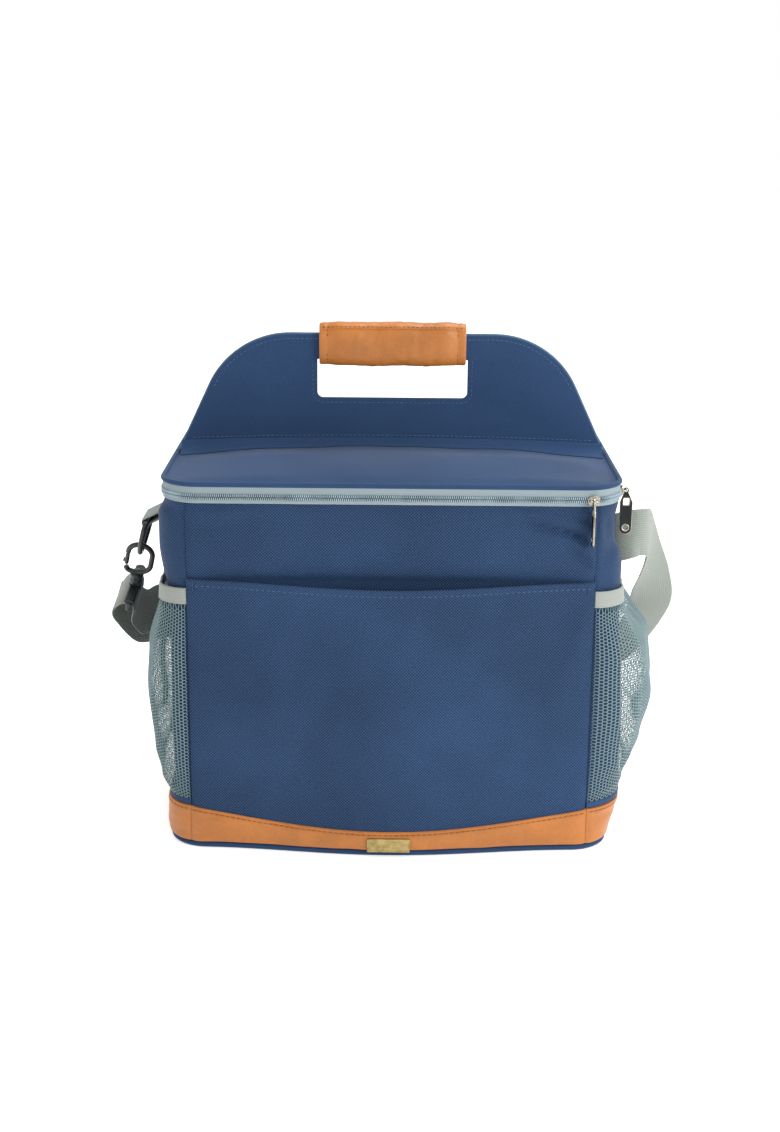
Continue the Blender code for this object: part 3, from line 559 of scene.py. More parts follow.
def metal_finish(name, colour, rough, brushed, dark):
    made, tree, shader = fresh(name, Metallic=1.0)
    place = object_place(tree)
    stretch = (60.0, 400.0, 1400.0) if brushed else (900.0, 900.0, 900.0)
    streaks = node(tree, "Mapping", {"Vector": place, "Scale": stretch})
    fine = noise(tree, streaks.outputs["Vector"], 1.0, 3.0)
    age = noise(tree, place, 160.0, 5.0, 0.7)
    tone = calc(tree, "MULTIPLY_ADD", age, 0.65, calc(tree, "MULTIPLY", fine, 0.35))
    paint = colours(tree, tone, (0.34, shade(colour, dark)), (0.55, colour), (0.8, shade(colour, 1.2)))
    tree.links.new(paint, shader.inputs["Base Color"])
    tree.links.new(ranged(tree, tone, rough + 0.18, rough - 0.08), shader.inputs["Roughness"])
    bump(tree, shader, fine, 0.00004, 0.35)
    return made


def plastic_finish(name, colour, rough, grain, gloss=0.4):
    made, tree, shader = fresh(name, Specular_IOR_Level=gloss)
    place = object_place(tree)
    fine = noise(tree, place, grain, 2.0)
    cloud = noise(tree, place, 60.0, 4.0)
    paint = colours(tree, cloud, (0.3, shade(colour, 0.75)), (0.7, shade(colour, 1.35)))
    tree.links.new(paint, shader.inputs["Base Color"])
    tree.links.new(ranged(tree, cloud, rough - 0.05, rough + 0.08), shader.inputs["Roughness"])
    bump(tree, shader, fine, 0.00003, 0.3)
    return made


def foam_finish():
    made, tree, shader = fresh("closed_cell_foam", Roughness=0.9, Subsurface_Weight=0.1)
    cells = node(tree, "TexVoronoi", {"Vector": object_place(tree), "Scale": 900.0}).outputs["Distance"]
    paint = colours(tree, cells, (0.0, (0.74, 0.74, 0.71)), (0.6, (0.88, 0.88, 0.86)))
    tree.links.new(paint, shader.inputs["Base Color"])
    bump(tree, shader, cells, 0.0002, 0.5)
    return made


def lining_finish():
    made, tree, shader = fresh("silvery_lining", Metallic=0.35, Specular_IOR_Level=0.6)
    place = object_place(tree)
    crumple = node(tree, "TexVoronoi", {"Vector": place, "Scale": 42.0}, feature="F2").outputs["Distance"]
    fine = noise(tree, place, 260.0, 3.0)
    tone = calc(tree, "MULTIPLY_ADD", crumple, 0.5, calc(tree, "MULTIPLY", fine, 0.5))
    paint = colours(tree, tone, (0.2, (0.52, 0.54, 0.56)), (0.8, (0.74, 0.76, 0.78)))
    tree.links.new(paint, shader.inputs["Base Color"])
    tree.links.new(ranged(tree, fine, 0.28, 0.45), shader.inputs["Roughness"])
    bump(tree, shader, tone, 0.0012, 0.4)
    return made


NAVY_COLOUR = (0.0160, 0.0385, 0.0890)
NAVY = woven("navy_oxford", NAVY_COLOUR, 0.00115, 0.75, 0.00050, Roughness=0.75, Sheen_Weight=0.09,
             Sheen_Roughness=0.35, Specular_IOR_Level=0.15)
NAVY_FINE = woven("navy_canvas", (0.0190, 0.0460, 0.1080), 0.00085, 0.50, 0.00030, Roughness=0.78,
                  Sheen_Weight=0.13, Sheen_Roughness=0.35, Specular_IOR_Level=0.15)
LEATHER_TAN = leather_finish("tan_leather", (0.385, 0.128, 0.019))
NET_THREAD = ribbed("net_thread", (0.112, 0.180, 0.190), 0.0004, 0.0006, 0.15, 0.00005, Roughness=0.6,
                    Sheen_Weight=0.2, Specular_IOR_Level=0.3)
ELASTIC = ribbed("ribbed_elastic", (0.235, 0.255, 0.232), 0.00125, 0.0006, 0.16, 0.00025, Roughness=0.8,
                 Sheen_Weight=0.1)
TAPE = ribbed("zip_tape", (0.20, 0.25, 0.27), 0.0007, 0.0005, 0.16, 0.00012, Roughness=0.8)
COIL = plastic_finish("nylon_coil", (0.26, 0.34, 0.38), 0.35, 2500.0)
CORD = plastic_finish("zip_cord", (0.018, 0.030, 0.040), 0.8, 2500.0)
WEBBING = ribbed("ribbed_webbing", (0.210, 0.232, 0.205), 0.0019, 0.0009, 0.22, 0.0004, Roughness=0.78,
                 Sheen_Weight=0.15, Sheen_Roughness=0.4)
LINING = lining_finish()
FOAM_WHITE = foam_finish()
BOARD_GREY = plastic_finish("stiffener_board", (0.20, 0.20, 0.21), 0.6, 700.0)
BRASS = metal_finish("antique_brass", (0.42, 0.32, 0.13), 0.38, True, 0.45)
NICKEL = metal_finish("aged_nickel", (0.40, 0.37, 0.31), 0.24, False, 0.4)
ENAMEL = plastic_finish("black_enamel", (0.006, 0.007, 0.008), 0.30, 300.0, 0.2)
BLACK = plastic_finish("moulded_black", (0.016, 0.019, 0.019), 0.32, 1800.0)
THREAD_BLUE = plastic_finish("pale_blue_thread", (0.055, 0.105, 0.165), 0.75, 4000.0)
THREAD_NAVY = plastic_finish("navy_thread", (0.020, 0.042, 0.085), 0.75, 4000.0)
THREAD_BROWN = plastic_finish("brown_thread", (0.22, 0.065, 0.016), 0.75, 4000.0)
THREAD_GREY = plastic_finish("grey_thread", (0.36, 0.38, 0.36), 0.75, 4000.0)


# --- Bag body ------------------------------------------------------------------------

CLOTH_STEP = 0.0024  # between a cloth panel's points
SEAM_GAP = 0.0003  # in turns of the plan, what is left between two panels
RUNS = {
    "front": (-SEAM + SEAM_GAP, SEAM - SEAM_GAP),
    "right": (SEAM + SEAM_GAP, 2 - SEAM - SEAM_GAP),
    "back": (2 - SEAM + SEAM_GAP, 2 + SEAM - SEAM_GAP),
    "left": (2 + SEAM + SEAM_GAP, 4 - SEAM - SEAM_GAP),
}


def run_grid(side, heights):
    """Grid over one side: places in turns, heights, metres along it and metres to its nearer seam."""
    start, end = RUNS[side]
    t, z = np.meshgrid(spread(start, end, CLOTH_STEP / QUARTER), heights, indexing="ij")
    return t, z, (t - (start + end) / 2) * QUARTER, np.minimum(t - start, end - t) * QUARTER


def front_folds(u, z):
    """The front's soft pulls under the zip: most at its right corner, where the sliders rest."""
    folds = 0.0026 * crease(u, z, (0.085, 0.2735), (0.150, 0.2600), 0.0034)
    folds -= 0.0042 * crease(u, z, (0.096, 0.2660), (0.152, 0.2500), 0.0034)
    folds += 0.0022 * crease(u, z, (0.118, 0.2590), (0.150, 0.2380), 0.0045)
    folds -= 0.0032 * crease(u, z, (0.128, 0.2490), (0.152, 0.2250), 0.0040)
    folds += 0.0010 * crease(u, z, (-0.148, 0.2660), (-0.095, 0.2720), 0.0045)
    folds -= 0.0010 * crease(u, z, (-0.148, 0.2560), (-0.100, 0.2650), 0.0050)
    return folds


def side_dents(u, z, seed):
    """Slack of a side panel, inwards only, so that it stays clear of what is sewn on it."""
    soft = 0.25 + 0.25 * np.clip(ripple(u, z, 0.075, seed), -1, 1)
    soft = soft + 0.6 * crease(u, z, (-0.112, 0.268), (-0.070, 0.205), 0.006)
    soft = soft + 0.5 * crease(u, z, (-0.085, 0.272), (-0.030, 0.235), 0.008)
    soft = soft + 0.5 * crease(u, z, (0.100, 0.270), (0.055, 0.215), 0.007)
    return -0.0042 * np.tanh(soft)


def side_fullness(side, u, z):
    """Where a side panel swells, clear of what hangs on that side: u is metres from the panel's middle."""
    if side in ("front", "back"):
        return np.zeros(np.broadcast(u, z).shape)
    if side == "right":
        near = dip(u + 0.074, 0.024)
        tall = fade(z, 0.004, 0.050) * (0.0115 - 0.0060 * fade(z, 0.100, 0.190)) * (1 - fade(z, 0.226, 0.246))
        return near * tall
    near = dip(u - 0.080, 0.021)
    return 0.0050 * near * fade(z, 0.200, 0.240) * (1 - fade(z, 0.262, 0.2745))


def make_walls():
    heights = spread(WALL_LOW, WALL_TOP, CLOTH_STEP)
    for side in RUNS:
        t, z, u, edge = run_grid(side, heights)
        out = -0.0013 * dip(edge, 0.0016)
        calm = fade(edge, 0.0, 0.012) * (1 - fade(z, 0.262, WALL_TOP)) * fade(z, 0.010, 0.045)
        if side == "front":
            upper = fade(z, 0.219, 0.232)
            folds = front_folds(u, z) + 0.0005 * ripple(u, z, 0.07, 3)
            out = out + upper * folds * fade(edge, 0, 0.006)
            out = out + upper * 0.0012 * (1 - fade(z, 0.2700, WALL_TOP))
            middle = np.cos(np.pi * np.minimum(np.abs(u) / SEAM_X, 1) / 2)
            out = out - 0.0028 * middle * fade(z, 0.196, 0.206) * (1 - fade(z, 0.2175, 0.2225))
        elif side == "back":
            out = out + calm * 0.0009 * ripple(u, z, 0.10, 5)
        else:
            full = side_fullness(side, u, z)
            dents = side_dents(u, z, 8 if side == "left" else 9)
            out = out + calm * dents * (1 - fade(full, 0, 0.002)) + full
        name = f"{side}_panel" if side in ("front", "back") else f"side_panel_{side}"
        mesh = shell(name, wall(t, z, out), wall(t, z, np.minimum(out, 0) - FABRIC))
        piece(f"{name}_cloth", mesh, NAVY, "bag", [name])
        near = np.minimum(out, 0) - FABRIC - GAP
        mesh = shell(f"foam_{side}", wall(t, z, near), wall(t, z, -FABRIC - GAP - FOAM))
        foam = piece(f"foam_{side}_sheet", mesh, FOAM_WHITE, "bag", [f"foam_{side}"])


def plan_sheet(name, edge, shares, over, under):
    """Sheet of the bag's plan, in rings from its edge inwards, between two height functions of x and y."""
    grid = edge[:, None] * np.asarray(shares)[None, :, None]
    x, y = grid[..., 0], grid[..., 1]
    high = np.stack([x, y, np.broadcast_to(over(x, y), x.shape)], -1)
    low = np.stack([x, y, np.broadcast_to(under(x, y), x.shape)], -1)
    mesh = shell(name, high, low, closed=True)
    bm = bmesh.new()
    bm.from_mesh(mesh)
    bmesh.ops.remove_doubles(bm, verts=bm.verts, dist=1e-6)
    bmesh.ops.dissolve_degenerate(bm, edges=bm.edges, dist=1e-7)
    layer = bm.loops.layers.uv["Weave"]
    for face in bm.faces:
        for loop in face.loops:
            loop[layer].uv = loop.vert.co.xy
    bm.to_mesh(mesh)
    bm.free()
    return mesh


PLAN = np.arange(0, 4, 1 / 60)
SHARES = np.concatenate([spread(1.0, 0.90, 0.008), spread(0.88, 0.0, 0.035)])


def plan_edge(out, bulged=False):
    if bulged:
        return wall(PLAN, 0.0, out)[:, :2]
    place, normal = outline(PLAN)
    return place + normal * out


def make_base():
    path = wall(PLAN, 0.0, -0.0005)
    path[:, 2] = PIPING_R + 0.0001
    mesh = tube("base_piping", path, PIPING_R, 14, closed=True)
    piece("base_piping_cord", mesh, NAVY_FINE, "bag", ["base_piping"])
    inside = plan_edge(-0.0005 - PIPING_R + 0.0008, True)
    mesh = plan_sheet("bottom", inside, SHARES, lambda x, y: FABRIC, lambda x, y: 0.0)
    piece("bottom_cloth", mesh, NAVY, "bag", ["bottom_panel"])
    row = at_height(plan_edge(-0.0085, True), 0.0)
    piece("bottom_stitches", stitches("bottom_stitches", row, (0, 0, -1)), THREAD_NAVY, "bag")
    low = FABRIC + GAP
    mesh = plan_sheet("board", plan_edge(-0.0034, True), SHARES, lambda x, y: low + BOARD, lambda x, y: low)
    piece("base_stiffener", mesh, BOARD_GREY, "bag", ["base_board"])
    low = low + BOARD + GAP
    mesh = plan_sheet("foam", plan_edge(-0.0080, True), SHARES, lambda x, y: low + FOAM, lambda x, y: low)
    piece("foam_floor_sheet", mesh, FOAM_WHITE, "bag", ["foam_bottom"])


def make_lining():
    """Heat-sealed tub: walls with a rim that turns out over the foam, a floor, and welds at its corners."""
    floor = FABRIC + BOARD + FOAM + 3 * GAP
    out = -FABRIC - FOAM - 2 * GAP
    z = np.concatenate([spread(floor, WALL_TOP - 0.003, 0.004), [WALL_TOP - 0.0012]])
    t, z = np.meshgrid(np.arange(0, 4, 1 / 90), z, indexing="ij")
    weld = 0.0
    for seam in (SEAM, 2 - SEAM, 2 + SEAM, 4 - SEAM):
        weld = weld + 0.0010 * dip((t - seam) * QUARTER, 0.0016)
    soft = 0.0010 * (0.5 + 0.5 * np.clip(ripple(t * QUARTER, z, 0.05, 21), -1, 1)) * (1 - fade(z, 0.25, 0.27))
    face = wall(t, z, out - LINER - soft - weld)
    back = wall(t, z, out)
    rim_face = [wall(t[:, 0], WALL_TOP + 0.0003 + lift, out - 0.0008 + far)
                for far, lift in ((0.0, 0.0), (0.0030, 0.0003), (0.0060, 0.0003), (0.0084, 0.0001))]
    rim_back = [wall(t[:, 0], WALL_TOP + 0.0001, out + far) for far in (0.0, 0.0030, 0.0060, 0.0078)]
    face = np.concatenate([face, np.stack(rim_face, 1)], 1)
    back = np.concatenate([back, np.stack(rim_back, 1)], 1)
    sides = shell("liner", face, back, closed=True)
    inside = wall(PLAN, 0.012, out - 0.0004)[:, :2]

    def crumple(x, y):
        return floor + LINER + 0.0009 * (0.5 + 0.5 * np.clip(ripple(x, y, 0.06, 22), -1, 1))

    bottom = plan_sheet("liner_floor", inside, SHARES, crumple, lambda x, y: floor)
    piece("lining_tub", joined("lining", [sides, bottom]), LINING, "bag", ["liner_tub"])
    row = wall(PLAN, WALL_TOP + 0.0007, -0.0040)
    piece("lining_rim_stitches", stitches("rim", row, (0, 0, 1)), THREAD_GREY, "bag")


def pocket_points(t, below, extra):
    """Front pocket's panel, at distances below its mouth."""
    place, _ = outline(t)
    across = np.cos(np.pi * np.minimum(np.abs(place[..., 0]) / SEAM_X, 1) / 2)
    top = POCKET_TOP - POCKET_DIP * across**2
    z = POCKET_LOW + (top - POCKET_LOW) * (1 - below / (POCKET_TOP - POCKET_LOW))
    slack = POCKET_SLACK * across**1.2 * fade(z, 0.03, 0.13)
    return wall(t, z, 2 * GAP + slack + extra)


POCKET_ROW = 0.0048  # its mouth's stitches, below the edge


def make_front_pocket():
    below = np.concatenate([spread(POCKET_TOP - POCKET_LOW, 0.0086, CLOTH_STEP), spread(0.0080, 0.0, 0.0005)])
    start, end = -SEAM + 0.0012, SEAM - 0.0012
    t, below = np.meshgrid(spread(start, end, CLOTH_STEP / QUARTER), below, indexing="ij")
    u = t * QUARTER
    edge = np.minimum(t - start, end - t) * QUARTER
    hem = 0.0007 * (1 - fade(below, 0.0052, 0.0066)) * fade(below, 0.0, 0.0007)
    hem = hem - 0.0004 * dip(below - POCKET_ROW, 0.0006)
    low = 1 - fade(below, 0.12, 0.19)
    soft = 0.0009 * ripple(u, below, 0.085, 31) + 0.0004 * ripple(u, below, 0.030, 32)
    soft = soft + 0.0012 * crease(u, below, (-0.150, 0.012), (-0.100, 0.075), 0.012)
    soft = soft - 0.0010 * crease(u, below, (0.060, 0.020), (0.135, 0.120), 0.018)
    soft = soft + 0.0010 * crease(u, below, (0.148, 0.020), (0.118, 0.110), 0.010)
    calm = fade(edge, 0.0, 0.010) * fade(below, 0.004, 0.02) * low
    roll = 0.0007 * dip(edge, 0.0013)
    face = pocket_points(t, below, FABRIC + hem + soft * calm - roll)
    back = pocket_points(t, below, np.minimum(soft * calm, 0))
    mesh = shell("front_pocket", face, back)
    piece("front_pocket_cloth", mesh, NAVY, "bag", ["front_pocket_panel"])
    t = spread(start + 0.01, end - 0.01, 0.002 / QUARTER)
    row = pocket_points(t, np.full(t.shape, POCKET_ROW), FABRIC + 0.0001)
    piece("pocket_mouth_stitches", stitches("mouth", row, outward(t), 0.0041, 0.0030), THREAD_BLUE, "bag")
    for name, place in (("left", start + 0.020), ("right", end - 0.020)):
        bar = pocket_points(np.full(9, place), spread(0.001, 0.009, 0.001)[:9], FABRIC + 0.0006)
        _, out = outline(place)
        mesh = stitches("tack", bar, (out[0], out[1], 0), 0.0009, 0.0016, 0.0003)
        piece(f"pocket_tack_{name}", mesh, THREAD_NAVY, "bag")


def band_top(t):
    place, _ = outline(t)
    return BAND_MIDDLE + BAND_RISE * np.minimum(np.abs(place[..., 0]) / SEAM_X, 1) ** 2


BAND_ROW = 0.0026  # its stitches, below its top edge


def make_trim_band():
    """Leather band round the foot, in four lengths, with one row of stitches under its top edge."""
    for side, (start, end) in RUNS.items():
        t = spread(start, end, 0.0022 / QUARTER)
        share = np.concatenate([[0, 0.02, 0.05], spread(0.12, 0.76, 0.06), spread(0.78, 1.0, 0.022)])
        t, share = np.meshgrid(t, share, indexing="ij")
        tall = band_top(t) - WALL_LOW
        z = WALL_LOW + tall * share
        drop = tall * (1 - share)
        u = (t - start) * QUARTER
        edge = np.minimum(u, (end - start) * QUARTER - u)
        puff = 0.0007 * np.sin(np.pi * np.clip(share * 1.1, 0, 1)) + 0.0004 * ripple(u, z * 2.5, 0.022, 41)
        puff = puff * fade(edge, 0, 0.004) * fade(drop, 0.001, 0.004)
        groove = 0.0004 * dip(drop - BAND_ROW, 0.0006)
        rounded = 0.0008 * (2 - fade(drop, 0.0, 0.0008) - fade(z - WALL_LOW, 0.0, 0.0008))
        rounded = rounded + 0.0007 * dip(edge, 0.0010)
        full = side_fullness(side, u - (end - start) * QUARTER / 2, z)
        face = wall(t, z, BAND_OUT + LEATHER + puff + full - groove - rounded)
        back = wall(t, z, BAND_OUT + full - 0.0012)
        mesh = shell(f"band_{side}", face, back)
        piece(f"trim_leather_{side}", mesh, LEATHER_TAN, "bag", [f"trim_band_{side}"])
        t = spread(start + 0.006, end - 0.006, 0.002 / QUARTER)
        z = band_top(t) - BAND_ROW
        full = side_fullness(side, (t - (start + end) / 2) * QUARTER, z)
        row = wall(t, z, BAND_OUT + LEATHER + full - 0.0001)
        mesh = stitches("trim", row, outward(t), 0.0042, 0.0030, 0.00032)
        piece(f"trim_stitches_{side}", mesh, THREAD_BROWN, "bag")


def rounded_box(half_x, half_y, radius, steps=6):
    """Outline of a rectangle with round corners about the origin."""
    points = []
    for k, (sx, sy) in enumerate(((1, 1), (-1, 1), (-1, -1), (1, -1))):
        for i in range(steps + 1):
            angle = math.pi / 2 * (k + i / steps)
            points.append((sx * (half_x - radius) + radius * math.cos(angle),
                           sy * (half_y - radius) + radius * math.sin(angle)))
    return points


def make_badge():
    """Blank brass plate with a raised border."""
    low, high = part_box("badge_plate")
    middle, half = (low + high) / 2, (high - low) / 2
    plate = flat_shape("plate", [rounded_box(half.x, half.z, 0.0010)], 0.0010, 0.0003)
    border = flat_shape("border", [rounded_box(half.x, half.z, 0.0010),
                                   rounded_box(half.x - 0.0011, half.z - 0.0011, 0.0006)], 0.0016, 0.0003)
    mesh = joined("badge", [plate, border])
    upright(mesh)
    mesh.transform(Matrix.Translation((middle.x, high.y - 0.0007, middle.z)))
    piece("badge", mesh, BRASS, "bag", ["badge_plate"])


# --- Side pockets ---------------------------------------------------------------------

NET_BLUFF = 0.64  # how squarely the net stands out at its ends
GATHERS = 9  # along each pocket's mouth
BINDING_ROW = 0.20  # its stitches, as a share of its height
BINDING_LEAN = 0.0022  # how far its top edge leans in
NET_PUFF = {
    "right": [(0.0, 0.0008), (0.10, 0.020), (0.24, 0.033), (0.48, 0.042), (0.72, 0.038), (1.0, 0.010)],
    "left": [(0.0, 0.0008), (0.10, 0.012), (0.24, 0.019), (0.48, 0.024), (0.72, 0.021), (1.0, 0.008)],
}


def profile(value, knots):
    """Smooth value between (place, height) knots."""
    value = np.asarray(value, float)
    out = np.full(value.shape, knots[0][1])
    for (a, low), (b, high) in zip(knots, knots[1:]):
        out = np.where(value >= a, low + (high - low) * fade(value, a, b), out)
    return out


def binding_low(along):
    return BINDING_TOP - BINDING_TALL - BINDING_SAG * np.sin(np.pi * along) ** 1.2


def net_points(side, along, share, extra):
    start, end = RUNS[side]
    z = NET_LOW + (binding_low(along) - GAP - NET_LOW) * share
    puff = profile(share, NET_PUFF[side]) * np.sin(np.pi * along) ** NET_BLUFF
    hang = np.sin(np.pi * share) * np.sin(np.pi * along) ** 0.6
    folds = 0.0014 * np.sin(2 * np.pi * (along * 3.4 + share * 0.9))
    folds = folds + 0.0010 * ripple(along * 0.22, share * 0.15, 0.06, 51)
    gather = 0.0012 * np.sin(2 * np.pi * along * GATHERS + 1.0) * fade(share, 0.75, 1.0)
    gather = gather * np.sin(np.pi * along)
    full = side_fullness(side, (end - start) * (along - 0.5) * QUARTER, z)
    out = GAP + np.maximum(puff + hang * folds + gather, full) + extra
    return wall(start + (end - start) * along, z, out)


NET_PITCH = 0.0026
NET_OPEN = 0.80  # how much of each cell is its hole


def hex_net(name, side):
    """Hexagonal net: each cell is a frame round a hole, and neighbours share its corners."""
    start, end = RUNS[side]
    width = (end - start) * QUARTER
    tall = float(binding_low(0.25)) - NET_LOW
    columns = round(width / (NET_PITCH * math.sqrt(3) / 2))
    rows = round(tall / NET_PITCH)
    corner_steps = np.array([(2, 0), (1, 1), (-1, 1), (-2, 0), (-1, -1), (1, -1)], float)
    i, j = np.meshgrid(np.arange(columns), np.arange(rows), indexing="ij")
    centres = np.stack([3.0 * i, 2.0 * j + i % 2], -1).reshape(-1, 2)
    cells = len(centres)
    corners = (centres[:, None] + corner_steps).reshape(-1, 2)
    shared, numbers = np.unique(np.round(corners).astype(int), axis=0, return_inverse=True)
    numbers = numbers.reshape(cells, 6)
    holes = (centres[:, None] + corner_steps * NET_OPEN).reshape(-1, 2)
    flat = np.concatenate([shared.astype(float), holes])
    along = 0.003 + 0.994 * (flat[:, 0] + 2) / (3 * (columns - 1) + 4)
    share = (flat[:, 1] + 1) / (2 * rows + 1)
    share = np.where(flat[:, 1] > 2 * rows - 2.5, np.minimum(share * 1.03, 1.0), share)
    verts = np.concatenate([net_points(side, along, share, extra) for extra in (0.0009, 0.0005)])
    back = len(flat)
    outer = numbers
    outer_next = np.roll(numbers, -1, 1)
    inner = len(shared) + np.arange(cells * 6).reshape(cells, 6)
    inner_next = np.roll(inner, -1, 1)
    frames = np.stack([outer, outer_next, inner_next, inner], -1).reshape(-1, 4)
    sides = np.stack([inner, inner_next, inner_next + back, inner + back], -1).reshape(-1, 4)
    edges = np.sort(np.stack([outer, outer_next], -1).reshape(-1, 2), 1)
    lone, count = np.unique(edges, axis=0, return_counts=True)
    lone = lone[count == 1]
    rims = np.stack([lone[:, 0], lone[:, 1], lone[:, 1] + back, lone[:, 0] + back], -1)
    faces = np.concatenate([frames, frames[:, ::-1] + back, sides, rims])
    uv = np.stack([along * width, share * tall], -1)
    uv = np.concatenate([uv, uv])
    return make_mesh(name, verts, faces, uv[faces])


def make_side_pockets():
    for side in ("left", "right"):
        net = hex_net("net", side)
        piece(f"pocket_net_{side}", net, NET_THREAD, "bag", [f"side_pocket_net_{side}"], sharp=80)
        start, end = RUNS[side]
        along, share = np.meshgrid(spread(0.0, 1.0, 0.006), spread(0.0, 1.0, 0.03), indexing="ij")
        reach = NET_PUFF[side][-1][1] * np.sin(np.pi * along) ** NET_BLUFF
        ribs = 0.00020 * np.abs(np.sin(np.pi * share * 8))
        seam = 0.00035 * dip(share - BINDING_ROW, 0.035)
        rounded = 0.0005 * (1 - fade(np.minimum(share, 1 - share), 0.0, 0.06))
        gather = 0.0006 * np.sin(2 * np.pi * along * GATHERS + 1.0) * np.sin(np.pi * along)
        lean = BINDING_LEAN * share * np.sin(np.pi * along)
        z = binding_low(along) + BINDING_TALL * share
        t = start + (end - start) * along
        face = wall(t, z, GAP + reach + 0.0017 + ribs - seam - rounded + gather - lean)
        back = wall(t, z, GAP + reach + rounded * 0.4 + gather - lean)
        mesh = shell("binding", face, back)
        piece(f"pocket_binding_{side}", mesh, ELASTIC, "bag", [f"side_pocket_binding_{side}"])
        along = spread(0.01, 0.99, 0.01)
        reach = NET_PUFF[side][-1][1] * np.sin(np.pi * along) ** NET_BLUFF
        reach = reach - BINDING_LEAN * BINDING_ROW * np.sin(np.pi * along)
        t = start + (end - start) * along
        row = wall(t, binding_low(along) + BINDING_ROW * BINDING_TALL, GAP + reach + 0.0015)
        row = stitches("row", row, outward(t), 0.0034, 0.0025, 0.0002)
        piece(f"binding_stitches_{side}", row, THREAD_GREY, "bag")
        t, share = np.meshgrid(spread(start + 0.001, end - 0.001, 0.004 / QUARTER), spread(0.0, 1.0, 0.1),
                               indexing="ij")
        z = NET_LOW - 0.0016 + 0.0050 * share
        full = side_fullness(side, (t - (start + end) / 2) * QUARTER, z)
        face = wall(t, z, full + 0.0022 - 0.0006 * (2 * share - 1) ** 4)
        mesh = shell("net_hem", face, wall(t, z, full + 0.0004))
        piece(f"pocket_net_hem_{side}", mesh, NAVY_FINE, "bag")


# --- Zip --------------------------------------------------------------------------------

ZIP_END = 2 - SEAM - 0.0055
TEETH_PITCH = 0.00150


def zip_grid(low, high, step):
    """Places round the zip, in turns, and heights from low to high."""
    return np.meshgrid(spread(-ZIP_END, ZIP_END, 0.003 / QUARTER), spread(low, high, step), indexing="ij")


def make_tape(name, node_name, body, low, high, sag):
    t, z = zip_grid(low, high, 0.0006)
    wave = 0.00035 * ripple(t * QUARTER, z, 0.05, 61) * sag * (1 - fade(z, low + 0.002, high))
    mesh = shell(name, straight(t, z, 0.0009 + wave), straight(t, z, 0.0003 + wave))
    piece(name, mesh, TAPE, body, [node_name])


def make_teeth(name, node_name, body, low, high, shift):
    """Row of coil teeth: each one a rounded bar across the coil."""
    run = np.arange(-ZIP_END * QUARTER, ZIP_END * QUARTER, TEETH_PITCH) + shift * TEETH_PITCH
    place, normal = outline(run / QUARTER)
    side = np.stack([-normal[:, 1], normal[:, 0]], -1)
    half = [(0.00020, 0.0021), (0.00046, 0.0016), (0.00050, 0.0009)]
    section = [(-across, out) for across, out in reversed(half)] + half
    levels = [(0.0, 0.55), (0.12, 1.0), (0.88, 1.0), (1.0, 0.55)]
    rings = []
    for share, fat in levels:
        z = low + (high - low) * share
        for across, out in section:
            spot = place + side * across * fat + normal * (0.0009 + (out - 0.0009) * fat)
            rings.append(at_height(spot, z))
    count = len(section)
    verts = np.stack(rings, 1).reshape(-1, 3)
    caps = [[r * count + a, r * count + b, r * count + 5 - b, r * count + 5 - a]
            for r in (0, len(levels) - 1) for a, b in ((0, 1), (1, 2))]
    every = np.concatenate([ring_faces(len(levels), count), caps])[None]
    every = every + (np.arange(len(run)) * len(rings))[:, None, None]
    piece(name, make_mesh(name, verts, every.reshape(-1, 4)), COIL, body, [node_name])


def make_zip():
    make_tape("zip_tape_low", "zip_tape_lower", "bag", TAPE_LOW[0], COIL_LOW[0] + 0.0002, 1.0)
    make_tape("zip_tape_high", "zip_tape_upper", "lid", COIL_UP[1] - 0.0002, TAPE_UP[1], 0.0)
    for name, body, (low, high) in (("low", "bag", COIL_LOW), ("high", "lid", COIL_UP)):
        t, z = zip_grid(low, high, 0.0007)
        piece(f"zip_cord_{name}", shell("cord", straight(t, z, 0.0007), straight(t, z, 0.0002)), CORD, body)
    make_teeth("zip_teeth_low", "zip_coil_lower", "bag", COIL_LOW[0], COIL_LOW[1] + 0.0001, 0.0)
    make_teeth("zip_teeth_high", "zip_coil_upper", "lid", COIL_UP[0] - 0.0001, COIL_UP[1], 0.5)


# --- Lid ---------------------------------------------------------------------------------


def lid_height(x, y):
    """Top of the lid: a low dome with a soft hollow just inside its piping."""
    far = np.maximum(np.abs(x) / HALF_X, np.abs(y) / HALF_Y)
    dome = LID_DOME * (1 - np.minimum(np.abs(x) / HALF_X, 1) ** 2.2)
    dome = dome * (1 - np.minimum(np.abs(y) / HALF_Y, 1) ** 2.4)
    pillow = 0.0016 * fade(1 - far, 0.03, 0.16) * fade(np.abs(y), 0.016, 0.045)
    dents = 0.0006 * ripple(x, y, 0.075, 71) * fade(1 - far, 0.02, 0.15)
    return LID_TOP + dome + pillow + dents


